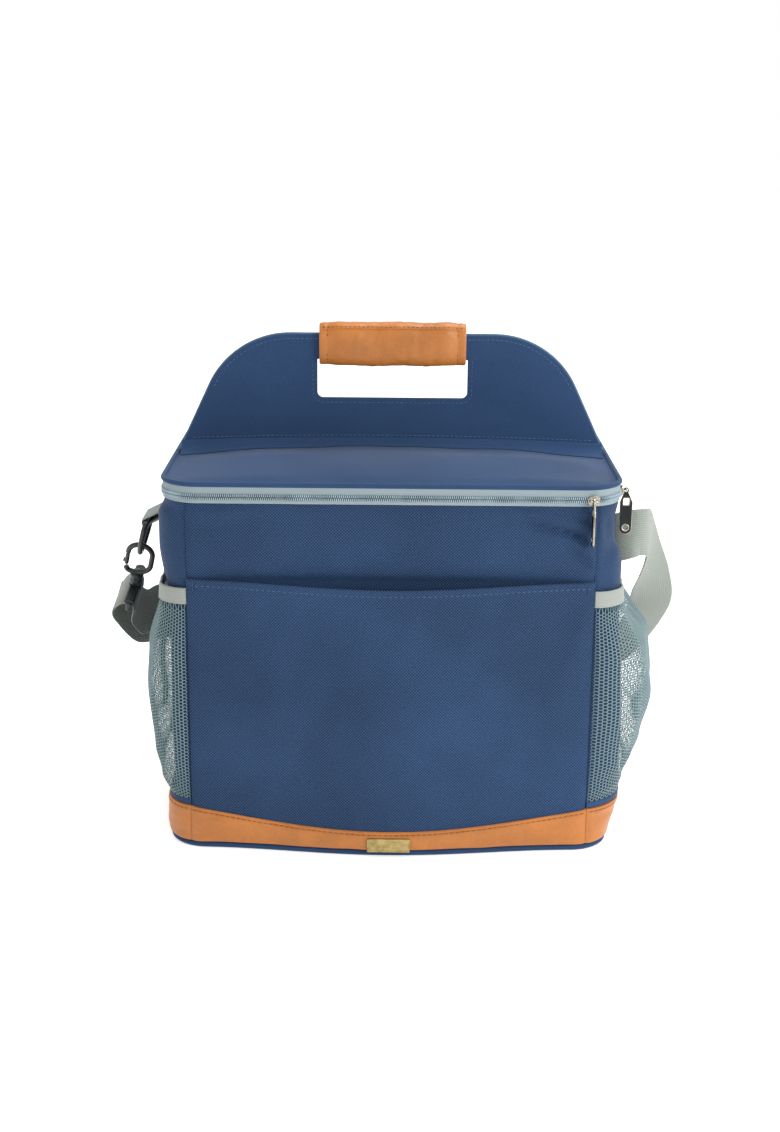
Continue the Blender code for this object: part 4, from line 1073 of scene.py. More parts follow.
def make_lid():
    shares = np.concatenate([spread(1.0, 0.90, 0.008), spread(0.885, 0.0, 0.018)])
    edge = plan_edge(-0.0004)
    mesh = plan_sheet("lid_top", edge, shares, lid_height, lambda x, y: lid_height(x, y) - FABRIC)
    piece("lid_cloth", mesh, NAVY_FINE, "lid", ["lid_top_panel"])
    mesh = tube("piping", at_height(plan_edge(0.0004), LID_TOP + 0.0004), 0.0019, 14, closed=True)
    piece("lid_piping_cord", mesh, NAVY_FINE, "lid", ["lid_piping"])
    t, z = np.meshgrid(PLAN, spread(0.2864, LID_TOP, 0.0008), indexing="ij")
    mesh = shell("lid_edge", straight(t, z, 0.0002), straight(t, z, -0.0006), closed=True)
    piece("lid_edge_cloth", mesh, NAVY_FINE, "lid")
    high = LID_TOP - 0.0016
    mesh = plan_sheet("lid_foam", plan_edge(-0.0016), SHARES, lambda x, y: high, lambda x, y: 0.2850)
    piece("lid_foam_sheet", mesh, FOAM_WHITE, "lid", ["lid_foam"])

    def quilt(x, y):
        return LID_LINER + 0.0008 * ripple(x, y, 0.07, 75) * fade(0.15 - np.abs(x), 0, 0.03)

    mesh = plan_sheet("lid_lining", plan_edge(-0.0082), SHARES, lambda x, y: 0.2845, quilt)
    rows = [(-0.0080, LID_LINER + 0.0002), (-0.0070, LID_LINER + 0.0004), (-0.0045, 0.2826),
            (-0.0012, 0.2862)]
    face = np.stack([at_height(plan_edge(out), z) for out, z in rows], 1)
    back = face + np.array([0, 0, 0.0006])
    skirt = shell("skirt", back, face, closed=True)
    piece("lid_lining_pan", joined("lid_lining", [mesh, skirt]), LINING, "lid", ["lid_liner"])
    row = at_height(plan_edge(-0.0092), LID_LINER - 0.0001)
    piece("lid_lining_stitches", stitches("row", row, (0, 0, -1)), THREAD_GREY, "lid")


HINGE_LOW = 0.2560
HINGE_BEND = (0.2778, 0.2862)  # the heights between the bag's side and the lid's


def make_lid_hinge():
    """Cloth strip up the back, from the bag's side to the top of the lid."""
    reach = SEAM + 0.004
    z = spread(HINGE_LOW, LID_TOP - 0.0004, 0.0008)
    t, z = np.meshgrid(spread(2 - reach, 2 + reach, 0.004 / QUARTER), z, indexing="ij")
    hem = 0.0005 * (1 - fade(z - HINGE_LOW, 0.0, 0.0007))
    mesh = shell("hinge", wall(t, z, 0.0014 - hem), wall(t, z, 0.0004))
    low, high = [(0.0, HALF_Y, z) for z in HINGE_BEND]
    piece("lid_hinge_cloth", mesh, NAVY_FINE, ("bag", "lid", low, high), ["lid_hinge_strip"])
    t = spread(2 - reach + 0.01, 2 + reach - 0.01, 0.002 / QUARTER)
    row = stitches("row", wall(t, HINGE_LOW + 0.0030, 0.0014), outward(t))
    piece("lid_hinge_stitches", row, THREAD_NAVY, "bag")


# --- Handle --------------------------------------------------------------------------------


def panel_outline(inset=0.0):
    """Panel's edge in X and Z: slanted ends, round shoulders and a flat top."""
    gain = SHOULDER_R * (1 - math.cos(SLANT))
    start_z = PANEL_TOP - gain
    start_x = PANEL_HALF - (start_z - PANEL_LOW) / math.tan(SLANT)
    radius = SHOULDER_R - inset
    middle_x = start_x - SHOULDER_R * math.sin(SLANT)
    low = PANEL_LOW + inset
    foot = PANEL_HALF - inset / math.sin(SLANT) - inset / math.tan(SLANT)
    right = [(foot, low)]
    for i in range(25):
        angle = SLANT * (1 - i / 24)
        right.append((middle_x + radius * math.sin(angle), PANEL_TOP - SHOULDER_R + radius * math.cos(angle)))
    return right + [(-x, z) for x, z in reversed(right)]


def cut_outline(grow=0.0):
    """Hand hole: round lower corners, square top."""
    radius = CUT_R + grow
    points = [(-CUT_HALF - grow, CUT_HIGH)]
    for side, start in ((-1, math.pi), (1, 1.5 * math.pi)):
        for i in range(9):
            angle = start + math.pi / 2 * i / 8
            points.append((side * (CUT_HALF - CUT_R) + radius * math.cos(angle),
                           CUT_LOW + CUT_R + radius * math.sin(angle)))
    points.append((CUT_HALF + grow, CUT_HIGH))
    return points


def dense(points, step=0.001):
    """Points about step apart along straight stretches."""
    out = []
    for a, b in zip(points, points[1:]):
        count = max(1, round(math.dist(a, b) / step))
        out += [tuple(a[k] + (b[k] - a[k]) * i / count for k in range(len(a))) for i in range(count)]
    return out + [tuple(points[-1])]


def foot_seam(x):
    """Height of the handle's foot seam, which arches over the lid's dome."""
    return PANEL_LOW + 0.0068 + 0.0034 * (1 - (x / PANEL_HALF) ** 2)


def make_handle():
    board = flat_shape("board", [panel_outline(0.0025), cut_outline(0.0025)], 0.0016, 0.0003)
    piece("handle_stiffener", upright(board), BOARD_GREY, "handle", ["handle_board"])
    for name, side in (("front", -1), ("back", 1)):
        face = flat_shape("face", [panel_outline(), cut_outline()], 0.0023, 0.0008, 4)
        mesh = upright(face, side * 0.00120)
        piece(f"handle_cloth_{name}", mesh, NAVY_FINE, "handle", [f"handle_face_{name}"])
        y = side * 0.00237
        rows = [panel_outline(0.0036)[1:-1], cut_outline(0.0034),
                [(x, foot_seam(x)) for x in spread(-0.158, 0.158, 0.01)]]
        meshes = [stitches("row", [(x, y, z) for x, z in dense(row)], (0, side, 0), 0.0036, 0.0026, 0.00024)
                  for row in rows]
        piece(f"handle_stitches_{name}", joined("rows", meshes), THREAD_BLUE, "handle")
    edge = [(x, 0.0, z) for x, z in dense(panel_outline(-0.0001), 0.003)]
    piece("handle_edge_cord", tube("edge", edge, 0.0010, 8), THREAD_BLUE, "handle")


def make_handle_base():
    """Folds of cloth that join the handle to the lid, in front and behind."""
    for name, side, nodes in (("front", -1, ["handle_base_strip"]), ("back", 1, [])):
        half = PANEL_HALF - 0.0006
        x, share = np.meshgrid(spread(-half, half, 0.003), spread(0, 1, 0.07), indexing="ij")
        foot_y = side * (0.0112 + 0.0030 * (x / PANEL_HALF) ** 2 + 0.0006 * ripple(x, x * 0, 0.07, 81))
        foot_z = lid_height(x, foot_y) + 0.0002
        start = np.stack([x, np.full(x.shape, side * 0.0029), foot_seam(x) - 0.0016], -1)
        knee = np.stack([x, np.full(x.shape, side * 0.0046), foot_z + 0.0010], -1)
        foot = np.stack([x, foot_y, foot_z], -1)
        s = share[..., None]
        back = start * (1 - s) ** 2 + 2 * knee * s * (1 - s) + foot * s**2
        lift = bound(back)
        lift = lift * np.sign(lift[..., 2:3] + 1e-9)
        thick = 0.0011 - 0.0005 * (1 - fade(np.minimum(share, 1 - share), 0, 0.06))
        low, high = (0, 0, HANDLE_AXIS_Z - 0.0020), (0, 0, PANEL_LOW + 0.0036)
        mesh = shell("base", back + lift * thick[..., None], back)
        piece(f"handle_base_{name}", mesh, NAVY_FINE, ("lid", "handle", low, high), nodes)


GRIP_LAP = 0.775  # in half turns, where the sleeve's edge laps over its front
GRIP_SEAM = 0.0506  # its rows of stitches, from its middle


def make_grip():
    """Padded leather sleeve, a little slack between its two rows of stitches."""
    middle = (GRIP_LOW + GRIP_TOP) / 2
    half = (GRIP_TOP - GRIP_LOW) / 2

    def ring(x, turn, grow):
        calm = fade(GRIP_HALF - np.abs(x), 0.006, 0.016)
        bend = 0.60 + 0.10 * (1 - calm)
        flat = 0.80 + 0.20 * calm
        y = np.sign(np.cos(turn)) * np.abs(np.cos(turn)) ** bend * (GRIP_DEEP * flat + grow)
        z = np.sign(np.sin(turn)) * np.abs(np.sin(turn)) ** bend * (half + grow - 0.0004 * (1 - calm))
        return np.stack([x, y, middle + z], -1), calm

    def wrapped(half_long, turns, step):
        return np.meshgrid(np.arange(0, 2 * math.pi, math.pi / turns), spread(-half_long, half_long, step),
                           indexing="ij")

    def facing(points):
        return unit((points - np.array([0.0, 0.0, middle])) * np.array([0.0, 2.2, 1.0]))

    turn, x = wrapped(GRIP_HALF, 90, 0.0012)
    around = turn * 0.0135
    slack = 0.0006 * ripple(x, around, 0.034, 91) + 0.00015 * ripple(x, around, 0.010, 92)
    seam = 0.0004 * dip(np.abs(x) - GRIP_SEAM, 0.0008)
    rim = 0.0006 * (1 - fade(GRIP_HALF - np.abs(x), 0.0, 0.0010))
    lap = 0.0007 * fade(turn / math.pi, 0.40, 0.55) * (1 - fade(turn / math.pi, GRIP_LAP, GRIP_LAP + 0.012))
    seam = seam - lap * fade(GRIP_HALF - np.abs(x), 0.002, 0.004)
    skin, calm = ring(x, turn, 0.0)
    swell = slack * calm - seam - rim - 0.0004
    face = skin + facing(skin) * swell[..., None]
    back, _ = ring(x, turn, -LEATHER)
    mesh = shell("grip", face, back, closed=True)
    grip = piece("grip_sleeve", mesh, LEATHER_TAN, "handle", ["grip_leather"])
    turn, x = wrapped(GRIP_HALF - 0.001, 24, 0.004)
    face, _ = ring(x, turn, -LEATHER - 0.0004)
    back = np.stack([x, 0.0027 * np.sign(np.cos(turn)) * np.abs(np.cos(turn)) ** 0.3,
                     middle + (half - 0.0045) * np.sign(np.sin(turn)) * np.abs(np.sin(turn)) ** 0.3], -1)
    mesh = shell("pad", face, back, closed=True)
    piece("grip_foam", mesh, FOAM_WHITE, "handle", ["grip_padding"])
    rows = []
    for place in (-GRIP_SEAM, GRIP_SEAM):
        for start in (0.08, 1.08):
            turn = spread(math.pi * start, math.pi * (start + 0.84), 0.05)
            path, _ = ring(np.full(turn.shape, place), turn, -0.0006)
            rows.append(stitches("row", path, facing(path), 0.0033, 0.0024, 0.00034))
    x = spread(-GRIP_HALF + 0.002, GRIP_HALF - 0.002, 0.001)
    path, _ = ring(x, np.full(x.shape, math.pi * (GRIP_LAP - 0.035)), 0.0003)
    rows.append(stitches("row", path, facing(path), 0.0034, 0.0025, 0.00034))
    piece("grip_stitches", joined("rows", rows), THREAD_BROWN, "handle")


# --- Zip sliders and pulls --------------------------------------------------------------------

BAIL_OUT = 0.0063
BAIL_Z = (COIL_LOW[0] + COIL_UP[1]) / 2
PULL_LONG = 0.0342
PULL_EYE = (-BAIL_OUT - 0.0004, BAIL_Z - PULL_LONG + 0.0054)  # the hole in its foot
SLIDERS = {"front": ((0.1480, -HALF_Y, 0.0), 0), "side": ((HALF_X, -0.0785, 0.0), 90)}


def circle(x, y, radius, steps=20):
    return [(x + radius * math.cos(2 * math.pi * i / steps), y + radius * math.sin(2 * math.pi * i / steps))
            for i in range(steps)]


def slider_body():
    """Shield-shaped outer plate with folded lips and a raised bridge for the pull."""
    tall = (COIL_UP[1] + 0.0012 - COIL_LOW[0] + 0.0016) / 2
    shape = []
    for i in range(13):  # its nose
        angle = math.pi / 2 + math.pi * i / 12
        shape.append((-0.0016 + 0.0030 * math.cos(angle), 0.0031 * math.sin(angle)))
    for i in range(13):  # its broad end
        angle = -math.pi / 2 + math.pi * i / 12
        shape.append((0.0018 + 0.0028 * math.copysign(abs(math.cos(angle)) ** 0.6, math.cos(angle)),
                      tall * math.copysign(abs(math.sin(angle)) ** 0.7, math.sin(angle))))
    plate = upright(flat_shape("plate", [shape], 0.0013, 0.0004), -0.00285)
    ridge = upright(flat_shape("ridge", [rounded_box(0.0040, 0.0013, 0.0012)], 0.0010, 0.0004), -0.0037)
    half = 0.0032
    bridge = [(-half, -0.0030, 0), (-half, -BAIL_OUT + 0.0014, 0)]
    for side, start in ((-1, math.pi), (1, 1.5 * math.pi)):
        for i in range(5):
            angle = start + math.pi / 2 * i / 4
            bridge.append((side * (half - 0.0012) + 0.0012 * math.cos(angle),
                           -BAIL_OUT + 0.0012 + 0.0012 * math.sin(angle), 0))
    bridge.append((half, -0.0030, 0))
    arch = tube("bridge", bridge, 0.00068, 12)
    parts = [plate, ridge, arch]
    for mesh in parts:
        mesh.transform(Matrix.Translation((0, 0, BAIL_Z)))
    lip = flat_shape("lip", [rounded_box(0.0036, 0.00055, 0.0003)], 0.0012, 0.0002)
    upright(lip, -0.0022).transform(Matrix.Translation((0, 0, COIL_LOW[0] - 0.00095)))
    return joined("slider", parts + [lip])


def pull_shape(inset):
    """Pull's outline as (distance out, height): round eye on top, waist, and a round wide foot."""
    eye, half = 0.0024 - inset, 0.0048 - inset
    low = BAIL_Z - PULL_LONG
    middle = -BAIL_OUT
    points = []
    for i in range(13):
        angle = -0.25 * math.pi + 1.5 * math.pi * i / 12
        points.append((middle + eye * math.cos(angle), BAIL_Z + eye * math.sin(angle)))
    points.append((middle - half - 0.0004, BAIL_Z - 0.0092))
    for i in range(13):
        angle = math.pi + math.pi * i / 12
        points.append((middle - 0.0004 + half * math.cos(angle), low + 0.0048 + half * math.sin(angle)))
    points.append((middle + half - 0.0004, BAIL_Z - 0.0092))
    return points


def pull_holes(grow):
    window = [(PULL_EYE[0] + x, BAIL_Z - 0.0088 + z)
              for x, z in rounded_box(0.0022 + grow, 0.0026 + grow, 0.0012)]
    return [circle(-BAIL_OUT, BAIL_Z, 0.0013 + grow * 0.3), window, circle(*PULL_EYE, 0.0021 + grow)]


def pull_meshes():
    """Nickel tab and its black enamel faces, standing in the plane of Y and Z."""
    stand = Matrix(((0, 0, 1, 0), (1, 0, 0, 0), (0, 1, 0, 0), (0, 0, 0, 1)))
    tab = flat_shape("tab", [pull_shape(0.0)] + pull_holes(0.0), 0.0015, 0.0004)
    enamel = flat_shape("enamel", [pull_shape(0.0004)] + pull_holes(0.0005), 0.0019, 0.0002)
    ring = flat_shape("ring", [circle(*PULL_EYE, 0.0031), circle(*PULL_EYE, 0.0019)], 0.0022, 0.0005)
    metal = joined("tab", [tab, ring])
    for mesh in (metal, enamel):
        mesh.transform(stand)
    return metal, enamel


def make_sliders():
    for tag, (place, degrees) in SLIDERS.items():
        put = Matrix.Translation(place) @ Matrix.Rotation(math.radians(degrees), 4, "Z")
        body = slider_body()
        body.transform(put)
        piece(f"slider_{tag}", body, NICKEL, f"{tag}_slider", [f"zip_slider_{tag}"])
        metal, enamel = pull_meshes()
        metal.transform(put)
        enamel.transform(put)
        piece(f"pull_{tag}", metal, NICKEL, f"{tag}_pull", [f"zip_pull_{tag}"])
        piece(f"pull_enamel_{tag}", enamel, ENAMEL, f"{tag}_pull", ())


# --- Shoulder strap and fittings ------------------------------------------------------------------

D_FALL = Vector((-0.26, 0.0, -0.966)).normalized()
D_FOOT = D_BAR + D_FALL * D_DROP
HOOK_DOWN = Vector((-0.221, 0.452, -0.864)).normalized()
BAR_ALONG = Vector((-0.112, -0.872, -0.428))
BAR_ALONG = (BAR_ALONG - HOOK_DOWN * BAR_ALONG.dot(HOOK_DOWN)).normalized()
HOOK_SIDE = BAR_ALONG.cross(HOOK_DOWN).normalized()
HOOK_WIRE = 0.0022
HOOK_HALF = 0.0098
HOOK_TOP = -0.0068
HOOK_FOOT = 0.0230
BAR_DOWN = 0.0472
BASE_HALF = 0.0235
BASE_DOWN = 0.0386  # the middle of the base's upper bar
TAIL_LIFT = Vector((0.0, -0.28, 0.72)).normalized()  # from the strap to its tail, at the adjuster


def hook_point(side, down, along=0.0):
    """Place by the snap hook's own axes, in metres from where it hangs on the ring."""
    return D_FOOT + HOOK_SIDE * side + HOOK_DOWN * down + BAR_ALONG * along


def smooth_curve(points, steps):
    """Points of a Catmull-Rom curve through the given vectors, steps to each stretch."""
    out = []
    for i in range(len(points) - 1):
        a = points[max(i - 1, 0)]
        b, c = points[i], points[i + 1]
        d = points[min(i + 2, len(points) - 1)]
        for k in range(steps):
            s = k / steps
            out.append(0.5 * ((2 * b) + (c - a) * s + (2 * a - 5 * b + 4 * c - d) * s * s
                              + (3 * b - a - 3 * c + d) * s**3))
    out.append(points[-1].copy())
    return out


def vec(x, y, z):
    """Short for a vector, for the strap's long list."""
    return Vector((x, y, z))


def strap_stations():
    """Strap's centre line and width direction, from the sewn right end to its tail at the adjuster."""
    n = -BAR_ALONG
    q = BAR_DOWN
    stations = [
        (vec(0.1716, 0.048, 0.2262), vec(0, 0, 1)),
        (vec(0.1716, 0.020, 0.2262), vec(0, 0, 1)),
        (vec(0.1722, -0.002, 0.2264), vec(0, 0, 1)),
        (vec(0.1790, -0.014, 0.2266), vec(0.02, 0.10, 1)),
        (vec(0.1910, -0.018, 0.2308), vec(0.0, 0.14, 1)),
        (vec(0.2010, -0.014, 0.2312), vec(0.0, 0.0, 1)),
        (vec(0.2078, 0.0000, 0.2262), vec(0.02, 0.10, 1.00)),
        (vec(0.2121, 0.0180, 0.2108), vec(0.32, 0.62, 0.72)),
        (vec(0.2156, 0.0350, 0.1923), vec(0.57, 0.56, 0.60)),
        (vec(0.2198, 0.0530, 0.1704), vec(0.87, 0.30, 0.39)),
        (vec(0.2231, 0.0700, 0.1482), vec(0.99, 0.12, 0.08)),
        (vec(0.2195, 0.0850, 0.1270), vec(0.96, 0.27, -0.08)),
        (vec(0.2111, 0.0990, 0.1056), vec(0.89, 0.40, -0.22)),
        (vec(0.1950, 0.1170, 0.0860), vec(0.62, 0.26, -0.70)),
        (vec(0.1740, 0.1340, 0.0650), vec(0.48, 0.40, -0.78)),
        (vec(0.1420, 0.148, 0.0460), vec(0.30, 0.70, -0.62)),
        (vec(0.1020, 0.160, 0.0220), vec(0.12, 0.92, -0.34)),
        (vec(0.0600, 0.167, 0.0060), vec(0.03, 1.0, -0.06)),
        (vec(0.0200, 0.170, 0.0018), vec(0.0, 1.0, 0.0)),
        (vec(-0.0100, 0.170, 0.0024), vec(0.0, 1.0, 0.0)),
        (vec(-0.0380, 0.168, 0.0130), vec(-0.03, 1.0, 0.16)),
        (vec(-0.0640, 0.163, 0.0330), vec(-0.10, 0.92, 0.36)),
        (vec(-0.0900, 0.158, 0.0530), vec(-0.10, 0.92, 0.36)),
        (vec(-0.1160, 0.153, 0.0730), vec(-0.10, 0.92, 0.36)),
        (vec(-0.1420, 0.148, 0.0930), vec(-0.10, 0.92, 0.36)),
        (vec(-0.1700, 0.132, 0.1080), vec(-0.10, 0.66, 0.74)),
        (vec(-0.1950, 0.104, 0.1190), vec(0.02, 0.30, 0.95)),
        (vec(-0.2080, 0.070, 0.1260), vec(0.06, 0.30, 0.95)),
        (vec(-0.2140, 0.042, 0.1370), vec(0.10, 0.55, 0.83)),
        (hook_point(-0.0105, q + 0.0150), n),
        (hook_point(-0.0108, q + 0.0060), n),
        (hook_point(-0.0070, q - 0.0012), n),
        (hook_point(-0.0026, q - 0.0034), n),
        (hook_point(0.0010, q - 0.0034), n),
        (hook_point(0.0038, q - 0.0006), n),
        (hook_point(0.0046, q + 0.0060), n),
        (hook_point(0.0050, q + 0.0140), n),
        (vec(-0.2060, 0.038, 0.1440), vec(0.10, 0.55, 0.83)),
        (vec(-0.2010, 0.068, 0.1390), vec(0.06, 0.30, 0.95)),
        (vec(-0.1880, 0.100, 0.1330), vec(0.02, 0.30, 0.95)),
        (vec(-0.1640, 0.126, 0.1200), vec(-0.10, 0.66, 0.74)),
    ]
    lift = TAIL_LIFT * 0.0042
    for k in (24, 23, 22):
        place, across = stations[k]
        stations.append((place + lift, across))
    return stations


def ribbon(name, stations, half, thick, steps, ribs):
    """Woven flat webbing carried along the stations, with ribs along its length."""
    centres = np.array(smooth_curve([s[0] for s in stations], steps))
    widths = np.array(smooth_curve([s[1].normalized() for s in stations], steps))
    along = unit(np.gradient(centres, axis=0))
    across = unit(widths - along * np.sum(widths * along, -1, keepdims=True))
    facing = np.cross(along, across)
    share = np.linspace(-1, 1, 6 * ribs + 1)
    edge = np.sqrt(np.clip(1 - np.abs(share) ** 14, 0, 1)) * 0.5 + 0.02
    relief = 0.00010 * np.abs(np.sin(np.pi * (share + 1) / 2 * ribs)) - 0.00005
    high = (thick * edge + relief * (np.abs(share) < 0.98))[None, :, None]
    spots = centres[:, None] + across[:, None] * (half * share)[None, :, None]
    return shell(name, spots + facing[:, None] * high, spots - facing[:, None] * high)


def make_strap():
    mesh = ribbon("strap", strap_stations(), WEB_HALF, WEB_THICK, 8, 20)
    piece("strap_webbing", mesh, WEBBING, "bag", ["shoulder_strap"])
    low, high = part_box("strap_end_patch")
    y, z = np.meshgrid(spread(low.y, high.y, 0.0012), spread(low.z, high.z, 0.0012), indexing="ij")
    edge = np.minimum(np.minimum(y - low.y, high.y - y), np.minimum(z - low.z, high.z - z))
    face = np.stack([high.x + 0.0002 - 0.0004 * (1 - fade(edge, 0, 0.0012)), y, z], -1)
    back = np.stack([np.full(y.shape, low.x), y, z], -1)
    piece("strap_sewn_end", shell("patch", face, back), WEBBING, "bag", ["strap_end_patch"])
    x = high.x + 0.0002
    box = [(x, low.y + 0.003, low.z + 0.003), (x, high.y - 0.003, low.z + 0.003),
           (x, high.y - 0.003, high.z - 0.003), (x, low.y + 0.003, high.z - 0.003)]
    lines = [[*box, box[0]], [box[0], box[2]], [box[1], box[3]]]
    rows = [stitches("row", dense(line), (1, 0, 0), 0.0028, 0.0021, 0.00025) for line in lines]
    piece("strap_end_stitches", joined("rows", rows), THREAD_GREY, "bag")


def make_strap_tab():
    """Doubled webbing sewn to the left side and looped round the ring's straight bar."""
    face = -HALF_X - 0.0005
    loop_r = D_WIRE + 0.0011
    path = [(face - 0.0026, 0.2650), (face - 0.0028, 0.2580), (face - 0.0040, 0.2520)]
    for i in range(17):
        angle = math.radians(118) + math.radians(232) * i / 16
        path.append((D_BAR.x + loop_r * math.cos(angle), D_BAR.z + loop_r * math.sin(angle)))
    path += [(face - 0.0040, 0.2462), (face - 0.0012, 0.2520), (face - 0.0010, 0.2580),
             (face - 0.0010, 0.2650)]
    stations = [(vec(x, D_BAR.y, z), vec(0, 1, 0)) for x, z in path]
    mesh = ribbon("tab", stations, 0.0175, WEB_THICK, 4, 18)
    piece("strap_tab_webbing", mesh, WEBBING, "bag", ["strap_tab_left"])
    row = [(face - 0.0036, D_BAR.y + y, 0.2615) for y in (-0.016, 0.016)]
    rows = [stitches("row", dense([(x, y, z - drop) for x, y, z in row]), (-1, 0, 0), 0.0026, 0.0019, 0.00028)
            for drop in (0.0, 0.0040)]
    piece("strap_tab_stitches", joined("rows", rows), THREAD_GREY, "bag")


def make_d_ring():
    path = [D_BAR + vec(0, D_HALF * k / 12, 0) for k in range(-12, 13)]
    for i in range(49):
        angle = math.pi * i / 48
        out = vec(0, (D_HALF + 0.0010) * math.cos(angle), 0)
        path.append(D_BAR + out + D_FALL * (0.0045 + (D_DROP - 0.0045) * math.sin(angle)))
    mesh = tube("d_ring", path, D_WIRE, 20, closed=True)
    piece("strap_ring", mesh, BLACK, "ring", ["d_ring"], sharp=60)


def make_hook():
    """Moulded snap hook: one skin over its loop, heel, collar and swivel pin, and a separate gate."""
    width, top, foot = HOOK_HALF, HOOK_TOP, HOOK_FOOT
    path = [hook_point(-width, top + width + 0.0012)]
    for i in range(25):
        angle = math.pi - math.pi * i / 24
        path.append(hook_point(width * math.cos(angle), top + width - width * math.sin(angle)))
    path += [hook_point(width, top + width + (foot - 2 * width - top) * i / 8) for i in range(1, 9)]
    for i in range(1, 13):
        angle = math.pi / 2 * i / 12
        path.append(hook_point(width * math.cos(angle), foot - width + width * math.sin(angle)))
    path.append(hook_point(0.0, foot + 0.004))
    loop = tube("loop", path, HOOK_WIRE, 16)
    heel = smooth_curve([hook_point(0.001, foot + 0.0012), hook_point(-0.0072, foot + 0.0006),
                         hook_point(-width, foot - 0.0030)], 6)
    downs = np.array([0.0232, 0.0240, 0.0252, 0.0285, 0.0315, 0.0345, 0.0356, 0.0362])
    fat = np.array([0.0030, 0.0048, 0.0055, 0.0052, 0.0056, 0.0054, 0.0046, 0.0030])
    collar = tube("collar", [hook_point(0.0, float(d)) for d in downs], fat, 24)
    groove = tube("pin", [hook_point(0.0, d) for d in (0.0350, 0.0402)], 0.0016, 16)
    mesh = melted("hook", [loop, tube("heel", heel, HOOK_WIRE, 16), collar, groove], 0.00035)
    piece("hook_body", mesh, BLACK, "hook", ["snap_hook"], sharp=70)
    reach = top + width + 0.0018 - foot + 0.0060
    path = [hook_point(-width, foot - 0.0060 + reach * i / 12) for i in range(13)]
    size = 0.0018 * (1 - 0.25 * np.abs(np.linspace(-1, 1, 13)) ** 6)
    bar = tube("gate", path, size, 16)
    thumb = tube("thumb", [hook_point(-width - 0.0002, 0.0105), hook_point(-width - 0.0018, 0.0122),
                           hook_point(-width - 0.0026, 0.0150)], [0.0009, 0.0012, 0.0008], 12)
    mesh = melted("gate", [bar, thumb], 0.0003)
    piece("hook_gate_bar", mesh, BLACK, "gate", ["hook_gate"], sharp=70)


def bar_by_hook(points, radius, sides=14):
    """Bar through points (side, down, along) by the hook's own axes."""
    return tube("bar", [hook_point(*p) for p in points], radius, sides)


def make_hook_base():
    """Moulded base that the hook turns in, with the bar that the strap goes round."""
    meshes = []
    half = BASE_HALF - 0.0021
    for shift in (-0.0022, 0.0, 0.0022):
        meshes.append(bar_by_hook([(shift, BASE_DOWN, -half), (shift, BASE_DOWN, half)], 0.0021))
    half = BASE_HALF - 0.0018
    for place in (-half, half):
        for shift in (0.0008, -0.0008):
            meshes.append(bar_by_hook([(shift, 0.0380, place), (0.0, BAR_DOWN, place)], [0.0024, 0.0019]))
    meshes.append(bar_by_hook([(0.0, BAR_DOWN, -half), (0.0, BAR_DOWN, half)], 0.0020))
    collar = [(0.0, BASE_DOWN - 0.0020, 0.0), (0.0, BASE_DOWN + 0.0020, 0.0)]
    meshes.append(bar_by_hook(collar, [0.0050, 0.0056], 24))
    mesh = melted("base", meshes, 0.0004)
    piece("hook_base", mesh, BLACK, "bag", ["hook_swivel_base"], sharp=70)


def make_adjuster():
    """Moulded slide: two side rails joined by bars that both layers of the strap pass between."""
    stations = strap_stations()
    a, b = stations[22], stations[23]
    along = (b[0] - a[0]).normalized()
    across = (a[1] - along * a[1].dot(along)).normalized()
    facing = TAIL_LIFT - along * TAIL_LIFT.dot(along) - across * TAIL_LIFT.dot(across)
    facing.normalize()
    centre = (a[0] + b[0]) / 2 + TAIL_LIFT * 0.0021

    def bar(points, radius):
        path = [centre + along * p[0] + across * p[1] + facing * p[2] for p in points]
        return tube("bar", path, radius, 12)

    rail = WEB_HALF + 0.0024
    half, deep = 0.0082, 0.0042
    meshes = []
    for side in (-1, 1):
        for level in (-0.0034, 0.0, 0.0034):
            meshes.append(bar([(-half, side * rail, level), (half, side * rail, level)], 0.0018))
    for place, level in ((-half, deep), (half, deep), (-half, -deep), (half, -deep), (0.0, deep)):
        meshes.append(bar([(place, -rail, level), (place, rail, level)], 0.0012))
    mesh = melted("adjuster", meshes, 0.0004)
    piece("adjuster_frame", mesh, BLACK, "adjuster", ["strap_adjuster"], sharp=70)


# --- Studio ---------------------------------------------------------------------------------------


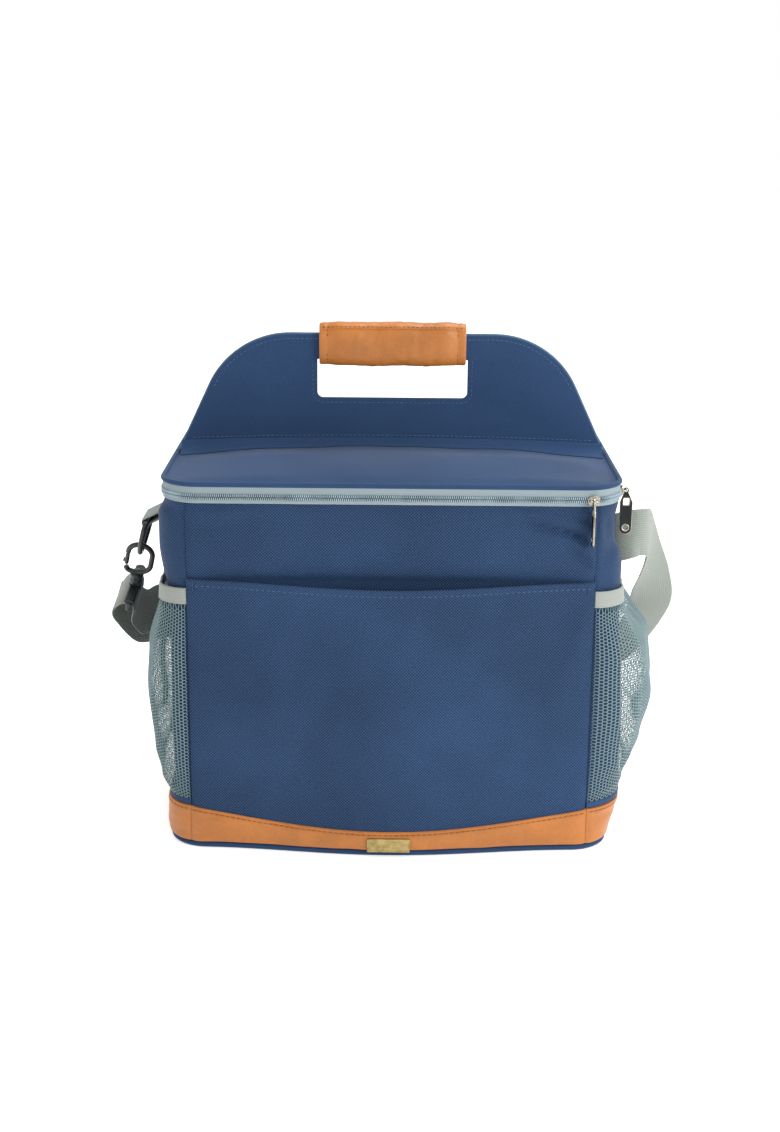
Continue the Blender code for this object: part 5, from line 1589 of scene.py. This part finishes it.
def area_light(name, place, target, size, power):
    data = bpy.data.lights.new(name, "AREA")
    data.shape = "DISK"
    data.size = size
    data.energy = power
    made = bpy.data.objects.new(name, data)
    made.location = place
    made.rotation_euler = (Vector(target) - Vector(place)).to_track_quat("-Z", "Y").to_euler()
    bpy.context.scene.collection.objects.link(made)


def make_studio():
    scene = bpy.context.scene
    scene.view_settings.view_transform = "Standard"
    world = bpy.data.worlds.new("studio")
    world.use_nodes = True
    world.node_tree.nodes["Background"].inputs["Color"].default_value = (1.0, 1.0, 1.0, 1.0)
    world.node_tree.nodes["Background"].inputs["Strength"].default_value = 1.0
    scene.world = world
    finish, tree, shader = fresh("white_floor", Roughness=0.9, Specular_IOR_Level=0.1)
    cloud = noise(tree, object_place(tree), 3.0)
    paint = colours(tree, cloud, (0.0, (0.95, 0.95, 0.95)), (1.0, (0.96, 0.96, 0.96)))
    tree.links.new(paint, shader.inputs["Base Color"])
    shader.inputs["Emission Color"].default_value = (1.0, 1.0, 1.0, 1.0)
    shader.inputs["Emission Strength"].default_value = 0.45
    far = 8.0
    corners = [(-far, -far, 0), (far, -far, 0), (far, far, 0), (-far, far, 0)]
    floor = bpy.data.objects.new("floor", make_mesh("floor", corners, [(0, 1, 2, 3)]))
    floor.data.materials.append(finish)
    floor.location = (0, 0, -0.0002)
    scene.collection.objects.link(floor)
    area_light("key", (0.85, -0.80, 0.55), (0.05, 0, 0.2), 0.5, 7)
    area_light("top", (0.35, 0.15, 1.5), (0, 0, 0.3), 0.7, 13)
    data = bpy.data.cameras.new("camera")
    data.sensor_width = 36.0
    data.lens = 52.47
    camera = bpy.data.objects.new("camera", data)
    camera.location = (-0.0006, -1.2832, 0.5728)
    tilt = Matrix.Rotation(math.radians(73.68), 4, "X") @ Matrix.Rotation(math.radians(0.51), 4, "Z")
    camera.rotation_euler = tilt.to_euler()
    scene.collection.objects.link(camera)
    scene.camera = camera


make_studio()
make_walls()
make_base()
make_lining()
make_front_pocket()
make_trim_band()
make_badge()
make_side_pockets()
make_zip()
make_lid()
make_lid_hinge()
make_handle()
make_handle_base()
make_grip()
make_sliders()
make_strap()
make_strap_tab()
make_d_ring()
make_hook()
make_hook_base()
make_adjuster()
